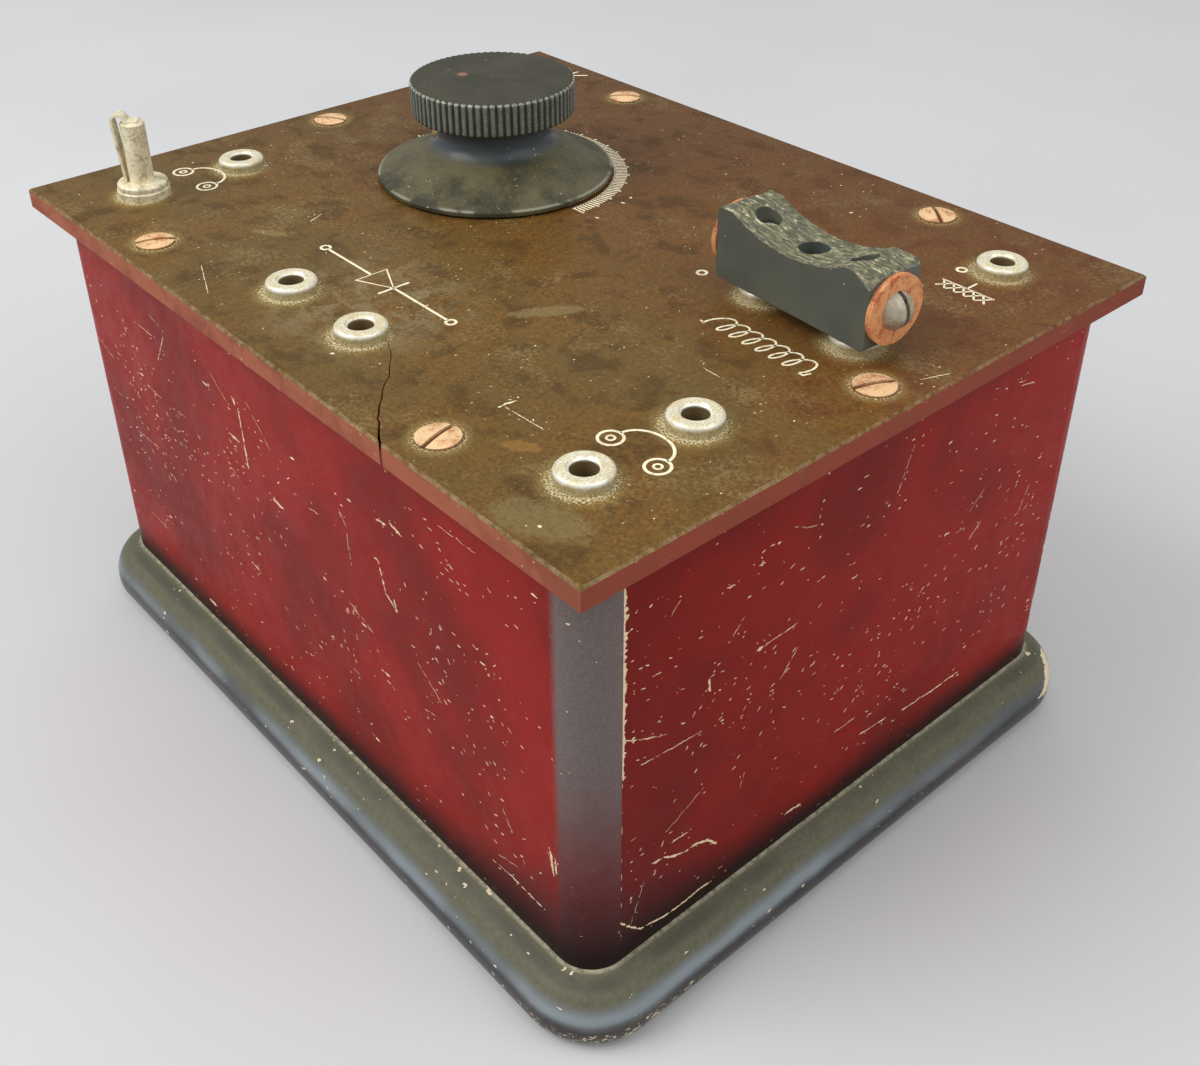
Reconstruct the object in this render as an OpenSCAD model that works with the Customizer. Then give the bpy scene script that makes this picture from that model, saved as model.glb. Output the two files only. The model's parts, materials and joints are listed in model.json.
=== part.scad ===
// Table crystal receiver: wooden box, engraved top panel with plug sockets, tuning
// condenser under a fluted knob and a plug-in coil block. Millimetres, +Z up.
// The origin is the middle of the base board's underside. -Y is the long front.

/* [Case] */
// Outside width of the box walls, left to right
case_w = 149; // [140:1:180]
// Outside depth of the box walls, front to back
case_d = 115; // [110:1:140]
// Height of the box walls
wall_h = 75; // [65:1:110]
// Thickness of the wall boards
wall_t = 6.5; // [5.5:0.5:8]
// Radius of the upright corners of the box
case_r = 6.5; // [3:0.5:10]

/* [Base board] */
// Thickness of the base board
base_t = 12; // [12:0.5:18]
// How far the base board stands out past the walls
base_lip = 6; // [4:0.5:12]
// Radius of the moulded upper edge
base_top_r = 7; // [4:0.5:7.5]
// Radius of the lower edge
base_low_r = 4; // [1:0.5:4]

/* [Panel] */
// Thickness of the top panel
panel_t = 4; // [3:0.5:6]
// How far the panel stands out past the walls
panel_lip = 3.5; // [2:0.5:8]
// Small bevel along every edge of the panel
panel_bevel = 0.4; // [0.2:0.1:0.8]

/* [Plug sockets] */
// Distance between the two holes of a plug pair
pitch = 20; // [17:0.5:22]
// Bore of a socket
bore_d = 4.06; // [4.02:0.01:4.1]
// Length of the bore below the top of the panel
bore_depth = 14.5; // [12:0.5:18]
// Solid metal under the bore
socket_floor = 1.5; // [1:0.5:3]
// Outside diameter of the threaded tube of a socket
tube_d = 6; // [5.6:0.1:6.4]
// Diameter of the flange on the panel
flange_d = 8.3; // [7.6:0.1:9.2]
// Height of the flange above the panel
flange_h = 2; // [1.4:0.1:3]
// Radius of the flange's upper edge
flange_round = 0.7; // [0.3:0.1:0.9]
// Mouth diameter of the bevelled bore
mouth_d = 4.9; // [4.5:0.1:6]
// Depth of the bevel at the mouth
mouth_h = 0.4; // [0.2:0.1:1.2]
// From the inside of a side wall to the outer socket rows
side_gap = 6.6; // [6:0.2:12]
// From the inside of the front wall to the front row
front_gap = 5; // [4.8:0.2:10]
// From the inside of the back wall to the back row
back_gap = 6.6; // [4.8:0.2:10]

/* [Nuts and tags] */
// Width over flats of the socket nuts
nut_af = 9; // [8.6:0.1:9.4]
// Thickness of the nut against the panel
nut_t = 2.5; // [2:0.1:4]
// Thickness of the lock nut under the solder tag
lock_t = 1.8; // [1.4:0.1:3]
// Thickness of a solder tag
tag_t = 0.6; // [0.4:0.1:1]
// Length of a solder tag from the socket's axis to its tip
tag_len = 10.4; // [10:0.2:13]
// Width of a solder tag's tail
tag_w = 3; // [2.4:0.1:4]

/* [Contact pin] */
// Diameter of the upright contact pin
pin_d = 4.4; // [3.6:0.1:4.8]
// Height of the pin's tip above the panel
pin_top = 13.8; // [11:0.2:18]
// Diameter of the pin's foot
foot_d = 9.4; // [8.6:0.1:10.4]
// Height of the foot's lower ring
foot_h = 1.6; // [1.2:0.1:2.4]
// Height of the collar on the foot
collar_h = 1.2; // [0.8:0.1:2]
// How far the collar is set in from the foot's edge
collar_in = 0.2; // [0.1:0.1:0.8]
// Bevel on the pin's tip and on the foot's edge
pin_bevel = 0.3; // [0.1:0.1:0.6]
// Radius of the collar's upper edge
collar_round = 0.6; // [0.3:0.1:0.7]
// Width of the bow spring
bow_w = 2.6; // [1.8:0.1:3.4]
// Thickness of the bow spring
bow_t = 0.4; // [0.3:0.05:0.6]
// How far the bow spring stands off the pin's axis at the top
bow_out = 3.6; // [3.2:0.1:4.4]
// How far the bow spring reaches over the pin's tip, to each side of its axis
bow_reach = 1.2; // [1:0.1:1.6]
// Gap between the bow spring's foot and the pin
bow_gap = 0.15; // [0.1:0.05:0.3]
// Side of the pin that the bow spring is on
bow_turn = 228; // [0:1:359]

/* [Tuning knob] */
// From the inside of the left wall to the knob's axis
knob_gap = 41.2; // [39.6:0.2:46]
// Distance of the knob and the coil block behind the panel's middle
row_y = 8.4; // [4:0.2:10]
// Diameter of the fluted disc
disc_d = 30.2; // [27:0.2:34]
// Height of the fluted disc
disc_h = 6; // [4:0.5:8]
// Height of the knob's top above the panel
knob_top = 18.4; // [17:0.2:24]
// Number of flutes round the disc
flutes = 72; // [48:2:84]
// Radius of one flute
flute_r = 0.4; // [0.3:0.05:0.5]
// Diameter of the neck under the disc
neck_d = 21; // [18:0.5:23]
// Diameter of the skirt
skirt_d = 44; // [40:0.5:52]
// Height of the skirt's upright rim
skirt_rim = 1.1; // [0.8:0.1:2]
// Height above the panel at which the skirt meets the neck
skirt_top = 6.9; // [6.6:0.1:8]
// Radius of the hollow curve from skirt to neck
skirt_curve = 4; // [2:0.5:5]
// Radius of the hollow under the skirt
hollow_r = 18.5; // [16:0.5:19]
// Diameter of the grub screw in the neck
grub_d = 2.6; // [2:0.1:3]
// Side of the neck that the grub screw is on
grub_turn = 226; // [0:1:359]
// Height of the grub screw's axis above the foot of the neck
grub_up = 0.9; // [0.4:0.1:1.4]
// How far the grub screw stands out of the neck
grub_out = 0.9; // [0.2:0.1:1.4]
// Gap between the bush and the roof of the hollow
hollow_gap = 0.6; // [0.4:0.1:1]
// Solid thickness of the knob over the spindle
knob_roof = 2.5; // [2:0.5:4]
// Bevel on the edges of the fluted disc
disc_bevel = 0.5; // [0.3:0.1:1]

/* [Tuning condenser] */
// Diameter of the spindle
spindle_d = 6; // [5:0.1:6.4]
// Diameter of the spindle's lower end
spindle_end_d = 5; // [4:0.1:5.6]
// Number of moving plates
rotor_n = 7; // [3:1:8]
// Radius of the moving plates
rotor_r = 28; // [22:0.5:29]
// Thickness of every plate
plate_t = 0.8; // [0.5:0.1:1.2]
// Air gap between a moving and a fixed plate
air_gap = 0.7; // [0.5:0.1:1]
// Radius of the fixed plates
stator_r = 31; // [30:0.5:32]
// Radius of the circle that the posts stand on
post_ring = 33; // [32.5:0.5:33.5]
// Diameter of the posts
post_d = 3.2; // [2.6:0.1:3.6]
// Outside diameter of the spacers on the posts
post_spacer_d = 6; // [5:0.1:7]
// Radius of the insulating end plates
end_r = 38; // [37.5:0.5:39]
// Thickness of the insulating end plates
end_t = 4; // [3:0.5:6]
// Free height between the upper end plate and the first fixed plate
stack_top = 3.8; // [3:0.2:6]
// Free height between the last fixed plate and the lower end plate
stack_low = 4.4; // [3.6:0.2:8]
// Diameter of the threaded bearing bush
bush_d = 9.5; // [8.5:0.1:10.5]
// Height of the bush above the panel
bush_up = 3.4; // [3:0.1:3.6]
// Width over flats of the nut on the bush
bush_nut_af = 14; // [12.5:0.5:15]
// Thickness of the nut on the bush
bush_nut_t = 2.4; // [2:0.1:2.8]
// How far the bush's flange stands out round its tube
bush_rim = 2.6; // [2:0.1:4]
// Thickness of the bush's flange
bush_flange_t = 1.6; // [1:0.1:2]
// Wall of the spindle's collar, its spacers and its nut
hub_wall = 2.2; // [1.6:0.1:2.6]
// Gap from the spindle's collar to the fixed plates
hub_gap = 2.3; // [1.6:0.1:3]
// Gap from the spindle's middle line to the plates' straight edges
edge_gap = 1; // [0.5:0.1:2]
// How far a plate stands out round its spacers
lug_rim = 1; // [0.6:0.1:1]
// Wall of the lower bearing
bearing_wall = 2; // [1.5:0.1:3]
// How far the lower bearing's flange stands out round its tube
bearing_rim = 2; // [1:0.1:3]
// Thickness of the lower bearing's flange
low_flange_t = 1.2; // [0.8:0.1:1.6]
// Height of the nut under the moving plates
rotor_nut_t = 3; // [2:0.1:3]
// Width over flats of the nuts on the posts
post_nut_af = 7; // [6:0.1:8]
// Thickness of those nuts
post_nut_t = 2.6; // [2:0.1:4]
// How far the posts reach past their nuts
post_tail = 0.8; // [0.4:0.1:2]
// How far the posts are let into the upper end plate
post_in = 2; // [1:0.1:2.5]
// How far the spindle reaches below the lower end plate
spindle_tail = 1.6; // [1:0.1:3]
// Reach of the contact strip from the spindle's axis
strip_len = 15; // [12:0.5:20]
// Width of the contact strip and length of its soldered foot
strip_w = 6; // [4:0.5:8]
// Thickness of the contact strip
strip_t = 0.6; // [0.4:0.1:1]

/* [Coil block] */
// From the inside of the right wall to the middle of the coil block
coil_gap = 16.6; // [16.2:0.2:20]
// Slight turn of the coil pair, clockwise seen from above
coil_turn = 4; // [0:0.5:6]
// Length of the block
block_l = 32; // [30:0.5:36]
// Depth of the block, front to back
block_w = 10.4; // [9.6:0.2:14]
// Height of the block
block_h = 12.2; // [10:0.2:16]
// Radius of the saddle across the block's top
saddle_r = 27; // [20:1:40]
// Depth of the saddle
saddle_deep = 2.8; // [1:0.2:4]
// How far the saddle lies left of the block's middle
saddle_off = 0.8; // [0:0.1:2]
// Radius of the block's upper end corners
block_top_r = 1.2; // [0.4:0.1:2]
// Radius of the block's lower end corners
block_low_r = 0.8; // [0.4:0.1:1.5]
// Diameter of the middle hole
mid_hole_d = 4.9; // [3:0.1:6]
// Depth of the middle hole below the saddle
mid_hole_deep = 5; // [2:0.5:7]
// Diameter of the two holes over the plug pins
top_hole_d = 4.2; // [3.8:0.1:5.6]
// Depth from the block's top to the ends of the plug pins
pin_recess = 3.2; // [3:0.1:5]
// Diameter of a plug pin, which runs in a socket bore
plug_d = 3.94; // [3.9:0.01:3.98]
// Length of a plug pin below its collar
plug_len = 14; // [10:0.5:15]
// Length of a plug pin's tapered tip
plug_tip = 1; // [0.5:0.1:2]
// Diameter of the end of that tip
plug_tip_d = 2.3; // [1.5:0.1:3]
// Height of a plug pin's collar under the block
plug_collar_h = 0.6; // [0.4:0.1:1.2]
// Diameter of the plug pin's thread in the block
plug_thread_d = 3.2; // [2.6:0.1:3.6]
// Diameter of the washers on the block's ends
washer_d = 11; // [9:0.2:12]
// Thickness of those washers
washer_t = 0.9; // [0.6:0.1:1.4]
// Bore of those washers
washer_bore = 3.8; // [3:0.1:4.4]
// Height of the washers' axis above the block's underside
washer_z = 5.8; // [5.6:0.1:7]
// Diameter of the round screw heads
round_head_d = 6; // [5:0.1:7]
// Height of the round screw heads
round_head_h = 2.3; // [1.6:0.1:3]

/* [Wood screws] */
// Head diameter of the panel and base screws
screw_head_d = 6.5; // [6:0.1:7]
// Shank diameter of those screws
screw_d = 2.8; // [2.2:0.1:3]
// Length of the panel screws below the straight rim of the head
screw_len = 16; // [14.5:0.5:20]
// Length of the base screws below the straight rim of the head
base_screw_len = 28; // [22:1:34]
// Height of the straight rim of the head
screw_rim = 0.3; // [0.1:0.05:0.5]
// Height of the slightly domed head above its rim
screw_dome = 0.3; // [0.2:0.05:0.6]
// Width of the screw slots
slot_w = 0.8; // [0.6:0.1:1]
// Depth of the screw slots
slot_deep = 1; // [0.8:0.1:1.2]
// Distance of the long rows of screws from the box's middle, to each side
screw_x = 41; // [34:1:48]

/* [Wiring] */
// Diameter of the stiff tinned hook-up wire
wire_d = 1.5; // [1:0.1:1.6]
// Radius to which the wire's middle line is bent
wire_bend = 2.5; // [1.5:0.1:2.5]
// Least gap from a wire to another wire or to a nut
wire_gap = 0.5; // [0.4:0.1:0.6]
// Length of the mica block condenser
mica_l = 13; // [10:0.5:13.5]
// Width of the mica block condenser
mica_w = 8; // [6:0.5:9]
// Height of the mica block condenser
mica_h = 11; // [8:0.5:16]
// Thickness of its brass straps
strap_t = 0.8; // [0.5:0.1:1]
// Width of its brass straps
strap_w = 5; // [3:0.5:6]

/* [Clearances] */
// Gap round a screw or a tube in its hole
fit = 0.05; // [0.02:0.01:0.1]
// Running gap between a spindle and its bearing
run = 0.05; // [0.02:0.01:0.08]
// Gap between parts that move over each other
rub = 0.3; // [0.2:0.05:0.5]
// Gap under the coil block's collars
seat = 0.1; // [0.05:0.05:0.3]

/* [Hidden] */
$fn = 64;
panel_w = case_w + 2 * panel_lip;
panel_d = case_d + 2 * panel_lip;
base_w = case_w + 2 * base_lip;
base_d = case_d + 2 * base_lip;
base_r = max(case_r + base_lip, base_top_r, base_low_r);
panel_z = base_t + wall_h;
top_z = panel_z + panel_t;
inside_x = case_w / 2 - wall_t;
inside_y = case_d / 2 - wall_t;
mid_wall_x = (case_w - wall_t) / 2;
mid_wall_y = (case_d - wall_t) / 2;
knob_x = knob_gap - inside_x;
coil_x = inside_x - coil_gap;

// Socket rows
side_x = inside_x - side_gap;
front_y = front_gap - inside_y;
back_y = inside_y - back_gap;
phone_y = front_y + pitch;
mica_y = front_y + pitch / 2;
coil_pos = [for (s = [-1, 1]) [
    coil_x + s * pitch / 2 * cos(coil_turn),
    row_y - s * pitch / 2 * sin(coil_turn)]];

// Name, place and direction of the solder tag of each socket
SOCKETS = [
    ["detector_socket_left", -pitch / 2, front_y, 90],
    ["detector_socket_right", pitch / 2, front_y, 90],
    ["phone_socket_left", -side_x, phone_y, 0],
    ["phone_socket_right_front", side_x, front_y, 180],
    ["phone_socket_right_rear", side_x, phone_y, 180],
    ["coil_socket_left", coil_pos[0][0], coil_pos[0][1], 180],
    ["coil_socket_right", coil_pos[1][0], coil_pos[1][1], 180],
    ["aerial_socket", -side_x, back_y, 0],
    ["earth_socket", side_x, back_y, 180],
];
PIN = ["contact_pin", -side_x, front_y, 0];
TERMINALS = concat(SOCKETS, [PIN]);
socket_len = bore_depth + socket_floor;
mouth_flare = (mouth_d - bore_d) / mouth_h;

// Levels of the nuts and tags under the panel
nut_z = panel_z - nut_t;
tag_z = nut_z - tag_t;
lock_z = tag_z - lock_t;
near_tag = nut_af / 2 / cos(30) + wire_d / 2 + wire_gap;
far_tag = near_tag + wire_d + wire_gap;

// Screw places: x, y and turn of the slot
SCREWS = [
    [-screw_x, -mid_wall_y, 67], [screw_x, -mid_wall_y, 105], [mid_wall_x, 0, 66],
    [screw_x, mid_wall_y, 140], [-screw_x, mid_wall_y, 46], [-mid_wall_x, 0, 35]];
head_cone = (screw_head_d - screw_d) / 2;
base_seat_z = screw_rim + screw_dome + fit;

// Condenser levels, from the panel down
plate_pitch = 2 * (plate_t + air_gap);
stator_n = rotor_n + 1;
upper_end_z = panel_z - end_t;
stator_z = upper_end_z - stack_top - plate_t;
rotor_z = stator_z - air_gap - plate_t;
stator_low_z = stator_z - rotor_n * plate_pitch;
lower_end_z = stator_low_z - stack_low - end_t;
rotor_low_z = rotor_z - (rotor_n - 1) * plate_pitch;
spindle_r = spindle_d / 2;
spindle_end_r = spindle_end_d / 2;
bearing_r = spindle_end_r + bearing_wall;
hub_r = spindle_r + hub_wall;
post_angles = [8, 90, 172];
function post_at(a) = [knob_x + post_ring * cos(a), row_y + post_ring * sin(a)];
post_end_z = lower_end_z - post_nut_t - post_tail;
spindle_low_z = lower_end_z - spindle_tail;
spindle_step_z = lower_end_z + end_t + low_flange_t + rub;
strip_z = spindle_low_z - rub;

// Knob levels above the panel
knob_low = top_z + rub;
disc_low = top_z + knob_top - disc_h;
neck_r = neck_d / 2;
skirt_r = skirt_d / 2;
hollow_top = bush_up + hollow_gap;
spindle_top_z = disc_low + disc_h - knob_roof;
grub_z = top_z + skirt_top + grub_up;

// Coil block levels and places
collar_z = top_z + flange_h + seat;
block_z = collar_z + plug_collar_h;
saddle_edge = saddle_r - saddle_deep;
plug_collar_d = flange_d - 1;
end_hole_len = (block_l - pitch) / 2;

// Wire levels
wire_r = wire_d / 2;
wire_drop = wire_bend + wire_d;
level = [for (i = [0:3]) tag_z - wire_drop - i * (wire_d + 2 * wire_gap)];
rear_lane = phone_y - 2 * wire_bend - wire_d - 2 * wire_gap;
detector_lane = rear_lane + wire_d + wire_gap;
rotor_lane = row_y + strip_len;
low_level = post_end_z - wire_drop;
rotor_level = strip_z - strip_t - wire_drop;

// Plain shapes

module ring(od, id, h) {
    difference() {
        cylinder(d = od, h = h);
        translate([0, 0, -1]) cylinder(d = id, h = h + 2);
    }
}

module hex_nut(af, id, h) {
    difference() {
        cylinder(d = af / cos(30), h = h, $fn = 6);
        translate([0, 0, -1]) cylinder(d = id, h = h + 2);
    }
}

// Quarter circle taken off the outer corner of a 2D strip
module round_corner(r) {
    difference() {
        square(r + 1);
        circle(r);
    }
}

// Upright section of a moulded edge that ends at x = w
module moulded_section(w, h, top_r, low_r) {
    difference() {
        square([w, h]);
        translate([w - top_r, h - top_r]) round_corner(top_r);
        translate([w - low_r, low_r]) mirror([0, 1]) round_corner(low_r);
    }
}

// Board with round plan corners and a moulded edge all round
module moulded_board(w, d, r, h, top_r, low_r) {
    for (side = [[w, d, 0], [d, w, 90]])
        rotate([0, 0, side[2]])
            translate([0, side[1] / 2 - r, 0])
                rotate([90, 0, 0])
                    linear_extrude(side[1] - 2 * r)
                        for (m = [0, 1])
                            mirror([m, 0]) moulded_section(side[0] / 2, h, top_r, low_r);
    for (x = [-1, 1], y = [-1, 1])
        translate([x * (w / 2 - r), y * (d / 2 - r), 0])
            rotate_extrude() moulded_section(r, h, top_r, low_r);
}

module round_rect(w, d, r) {
    square([w - 2 * r, d], center = true);
    square([w, d - 2 * r], center = true);
    for (x = [-1, 1], y = [-1, 1])
        translate([x * (w / 2 - r), y * (d / 2 - r)]) circle(r);
}

module at_terminals() {
    for (t = TERMINALS)
        translate([t[1], t[2], 0]) children();
}

module at_posts() {
    for (a = post_angles)
        translate([post_at(a)[0], post_at(a)[1], 0]) children();
}

module at_knob() {
    translate([knob_x, row_y, 0]) children();
}

module at_coil() {
    translate([coil_x, row_y, 0]) rotate([0, 0, -coil_turn]) children();
}

// Case

module wood_screw_hole(depth) {
    translate([0, 0, -depth]) cylinder(d = screw_d + 2 * fit, h = depth + 1);
}

module wall_blank() {
    translate([0, 0, base_t]) linear_extrude(wall_h) round_rect(case_w, case_d, case_r);
}

module wall_screw_holes() {
    for (s = SCREWS) {
        translate([s[0], s[1], top_z]) wood_screw_hole(screw_len + fit);
        translate([s[0], s[1], base_seat_z])
            mirror([0, 0, 1]) wood_screw_hole(base_screw_len + fit);
    }
}

module long_wall(side) {
    color("#6e1f1c")
        difference() {
            intersection() {
                wall_blank();
                translate([-case_w / 2, side * (case_d / 2 - wall_t / 2) - wall_t / 2, base_t])
                    cube([case_w, wall_t, wall_h]);
            }
            wall_screw_holes();
        }
}

module short_wall(side) {
    color("#6e1f1c")
        difference() {
            intersection() {
                wall_blank();
                translate([side * mid_wall_x - wall_t / 2, wall_t - case_d / 2, base_t])
                    cube([wall_t, case_d - 2 * wall_t, wall_h]);
            }
            wall_screw_holes();
        }
}

module front_wall() {
    long_wall(-1);
}

module back_wall() {
    long_wall(1);
}

module left_wall() {
    short_wall(-1);
}

module right_wall() {
    short_wall(1);
}

module base_board() {
    color("#1c1a18")
        difference() {
            moulded_board(base_w, base_d, base_r, base_t, base_top_r, base_low_r);
            for (s = SCREWS)
                translate([s[0], s[1], base_seat_z]) mirror([0, 0, 1]) screw_seat(base_t);
        }
}

// Hole with a countersink, cut downwards from z = 0
module screw_seat(depth) {
    translate([0, 0, -head_cone - fit])
        cylinder(d1 = screw_d + 2 * fit, d2 = screw_head_d + 2 * fit, h = head_cone + fit);
    cylinder(d = screw_head_d + 2 * fit, h = 1);
    translate([0, 0, -depth - 1]) cylinder(d = screw_d + 2 * fit, h = depth + 1);
}

// Countersunk screw with a slotted head, its rim standing on z = 0
module wood_screw(len) {
    cap_r = (pow(screw_head_d / 2, 2) + pow(screw_dome, 2)) / 2 / screw_dome;
    difference() {
        rotate_extrude() {
            intersection() {
                translate([0, screw_rim + screw_dome - cap_r]) circle(cap_r, $fn = 128);
                square([screw_head_d / 2, screw_rim + screw_dome]);
            }
            polygon([[0, 0], [screw_head_d / 2, 0], [screw_d / 2, -head_cone],
                [screw_d / 2, screw_d - len], [0, -len]]);
        }
        translate([-screw_head_d, -slot_w / 2, screw_rim + screw_dome - slot_deep])
            cube([2 * screw_head_d, slot_w, 2 * slot_deep]);
    }
}

module panel_screws() {
    color("#a8713f")
        for (s = SCREWS)
            translate([s[0], s[1], top_z]) rotate([0, 0, s[2]]) wood_screw(screw_len);
}

module base_screws() {
    color("#8a7a5c")
        for (s = SCREWS)
            translate([s[0], s[1], base_seat_z]) mirror([0, 0, 1]) wood_screw(base_screw_len);
}

// Panel

module bevelled_section(w) {
    b = panel_bevel;
    polygon([[-w / 2 + b, 0], [w / 2 - b, 0], [w / 2, b], [w / 2, panel_t - b],
        [w / 2 - b, panel_t], [-w / 2 + b, panel_t], [-w / 2, panel_t - b], [-w / 2, b]]);
}

module panel_plate() {
    intersection() {
        translate([0, panel_d, 0])
            rotate([90, 0, 0]) linear_extrude(2 * panel_d) bevelled_section(panel_w);
        rotate([90, 0, 90])
            translate([0, 0, -panel_w]) linear_extrude(2 * panel_w) bevelled_section(panel_d);
    }
}

module panel() {
    color("#5a3d22")
        difference() {
            translate([0, 0, panel_z]) panel_plate();
            at_terminals()
                translate([0, 0, panel_z - 1]) cylinder(d = tube_d + 2 * fit, h = panel_t + 2);
            at_knob()
                translate([0, 0, panel_z - 1]) cylinder(d = bush_d + 2 * fit, h = panel_t + 2);
            for (s = SCREWS)
                translate([s[0], s[1], top_z]) screw_seat(panel_t);
        }
}

// Sockets and the contact pin

module flange_section(r, h, edge) {
    difference() {
        square([r, h]);
        translate([r - edge, h - edge]) round_corner(edge);
    }
}

// Nickelled socket, its flange on the plane z = 0
module socket() {
    color("#cfcab8")
        difference() {
            rotate_extrude() {
                flange_section(flange_d / 2, flange_h, flange_round);
                translate([0, -socket_len]) square([tube_d / 2, socket_len]);
            }
            translate([0, 0, -bore_depth]) cylinder(d = bore_d, h = bore_depth + flange_h + 1);
            translate([0, 0, flange_h - mouth_h])
                cylinder(d1 = bore_d, d2 = mouth_d + mouth_flare, h = mouth_h + 1);
        }
}

module contact_pin() {
    collar_r = foot_d / 2 - collar_in;
    color("#cfcab8")
        translate([PIN[1], PIN[2], top_z])
            rotate_extrude() {
                flange_section(foot_d / 2, foot_h, pin_bevel);
                translate([0, foot_h]) flange_section(collar_r, collar_h, collar_round);
                translate([0, -socket_len]) square([tube_d / 2, socket_len]);
                polygon([[0, 0], [pin_d / 2, 0], [pin_d / 2, pin_top - pin_bevel],
                    [pin_d / 2 - pin_bevel, pin_top], [0, pin_top]]);
            }
}

// Flat strip that lies on the pin's tip, arches over its side and runs down to the collar
module bow_section() {
    arch_r = (bow_out - bow_reach + bow_t) / 2;
    arch_x = bow_out - arch_r;
    low = foot_h + collar_h + bow_gap;
    root = pin_d / 2 + bow_gap;
    translate([-bow_reach, pin_top]) square([2 * bow_reach, bow_t]);
    intersection() {
        difference() {
            translate([arch_x, pin_top + bow_t / 2]) circle(arch_r);
            translate([arch_x, pin_top + bow_t / 2]) circle(arch_r - bow_t);
        }
        translate([0, pin_top]) square([2 * bow_out, 2 * arch_r]);
    }
    polygon([[root, low], [root + bow_t, low],
        [bow_out, pin_top + bow_t], [bow_out - bow_t, pin_top + bow_t]]);
}

module bow_spring() {
    color("#bdb59a")
        translate([PIN[1], PIN[2], top_z])
            rotate([0, 0, bow_turn])
                translate([0, bow_w / 2, 0])
                    rotate([90, 0, 0]) linear_extrude(bow_w) bow_section();
}

module socket_nuts() {
    color("#b9a468")
        at_terminals() translate([0, 0, nut_z]) hex_nut(nut_af, tube_d + 2 * fit, nut_t);
}

module lock_nuts() {
    color("#b9a468")
        at_terminals() translate([0, 0, lock_z]) hex_nut(nut_af, tube_d + 2 * fit, lock_t);
}

module tag_outline() {
    tail = tag_len - tag_w / 2;
    difference() {
        union() {
            circle(d = nut_af);
            translate([0, -tag_w / 2]) square([tail, tag_w]);
            translate([tail, 0]) circle(d = tag_w);
        }
        circle(d = tube_d + 2 * fit);
    }
}

module solder_tags() {
    color("#c9b27a")
        for (t = TERMINALS)
            translate([t[1], t[2], tag_z])
                rotate([0, 0, t[3]]) linear_extrude(tag_t) tag_outline();
}

// Tuning knob

module skirt_section() {
    low = rub;
    rim = low + skirt_rim;
    slope = atan((skirt_top - rim) / (skirt_r - neck_r));
    run_out = skirt_curve * tan(45 - slope / 2);
    polygon([[0, low], [skirt_r, low], [skirt_r, rim], [neck_r, skirt_top], [0, skirt_top]]);
    translate([0, skirt_top - 1]) square([neck_r, knob_top - skirt_top - 1]);
    difference() {
        polygon([[neck_r - 1, skirt_top - 1], [neck_r, skirt_top + run_out],
            [neck_r + skirt_curve, skirt_top + run_out],
            [neck_r + run_out * cos(slope), skirt_top - run_out * sin(slope)]]);
        translate([neck_r + skirt_curve, skirt_top + run_out]) circle(skirt_curve);
    }
}

module fluted_disc() {
    r = disc_d / 2;
    flat_r = r - disc_bevel;
    intersection() {
        linear_extrude(disc_h)
            difference() {
                circle(r, $fn = 180);
                for (i = [0:flutes - 1])
                    rotate(i * 360 / flutes) translate([r, 0]) circle(flute_r, $fn = 16);
            }
        rotate_extrude()
            polygon([[0, 0], [flat_r, 0], [r, disc_bevel], [r, disc_h - disc_bevel],
                [flat_r, disc_h], [0, disc_h]]);
    }
}

module tuning_knob() {
    color("#211f1c")
        at_knob()
            difference() {
                union() {
                    translate([0, 0, top_z]) rotate_extrude() skirt_section();
                    translate([0, 0, disc_low]) fluted_disc();
                }
                translate([0, 0, top_z])
                    rotate_extrude()
                        polygon([[0, 0], [hollow_r, 0], [hollow_r, rub],
                            [neck_r, hollow_top], [0, hollow_top]]);
                translate([0, 0, top_z - 1])
                    cylinder(d = spindle_d + 2 * fit, h = spindle_top_z - top_z + 1 + fit);
                rotate([0, 0, grub_turn])
                    translate([0, 0, grub_z])
                        rotate([0, 90, 0])
                            cylinder(d = grub_d + 2 * fit, h = skirt_r);
            }
}

module grub_screw() {
    len = neck_r + grub_out - spindle_r - fit;
    color("#b98b4a")
        at_knob()
            rotate([0, 0, grub_turn])
                translate([spindle_r + fit, 0, grub_z])
                    rotate([0, 90, 0])
                        difference() {
                            cylinder(d = grub_d, h = len);
                            translate([-grub_d, -slot_w / 2, len - slot_deep])
                                cube([2 * grub_d, slot_w, 2 * slot_deep]);
                        }
}

// Tuning condenser

module bearing_bush() {
    len = bush_flange_t + end_t + panel_t + bush_up;
    color("#b9985a")
        at_knob()
            translate([0, 0, upper_end_z - bush_flange_t])
                difference() {
                    union() {
                        cylinder(r = bush_d / 2 + bush_rim, h = bush_flange_t);
                        cylinder(d = bush_d, h = len);
                    }
                    translate([0, 0, -1]) cylinder(r = spindle_r + run, h = len + 2);
                }
}

module bush_nut() {
    color("#b9985a")
        at_knob() translate([0, 0, top_z]) hex_nut(bush_nut_af, bush_d + 2 * fit, bush_nut_t);
}

module spindle() {
    color("#9c9a92")
        at_knob() {
            translate([0, 0, spindle_step_z])
                cylinder(r = spindle_r, h = spindle_top_z - spindle_step_z);
            translate([0, 0, spindle_low_z])
                cylinder(r = spindle_end_r, h = spindle_step_z - spindle_low_z);
        }
}

module spindle_collar() {
    top = upper_end_z - bush_flange_t - rub;
    low = rotor_z + plate_t;
    color("#b9985a")
        at_knob() translate([0, 0, low]) ring(2 * hub_r, spindle_d + 2 * fit, top - low);
}

module half_plane(side, gap) {
    reach = 2 * end_r;
    translate([-reach, side > 0 ? gap : -reach - gap]) square([2 * reach, reach]);
}

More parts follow.
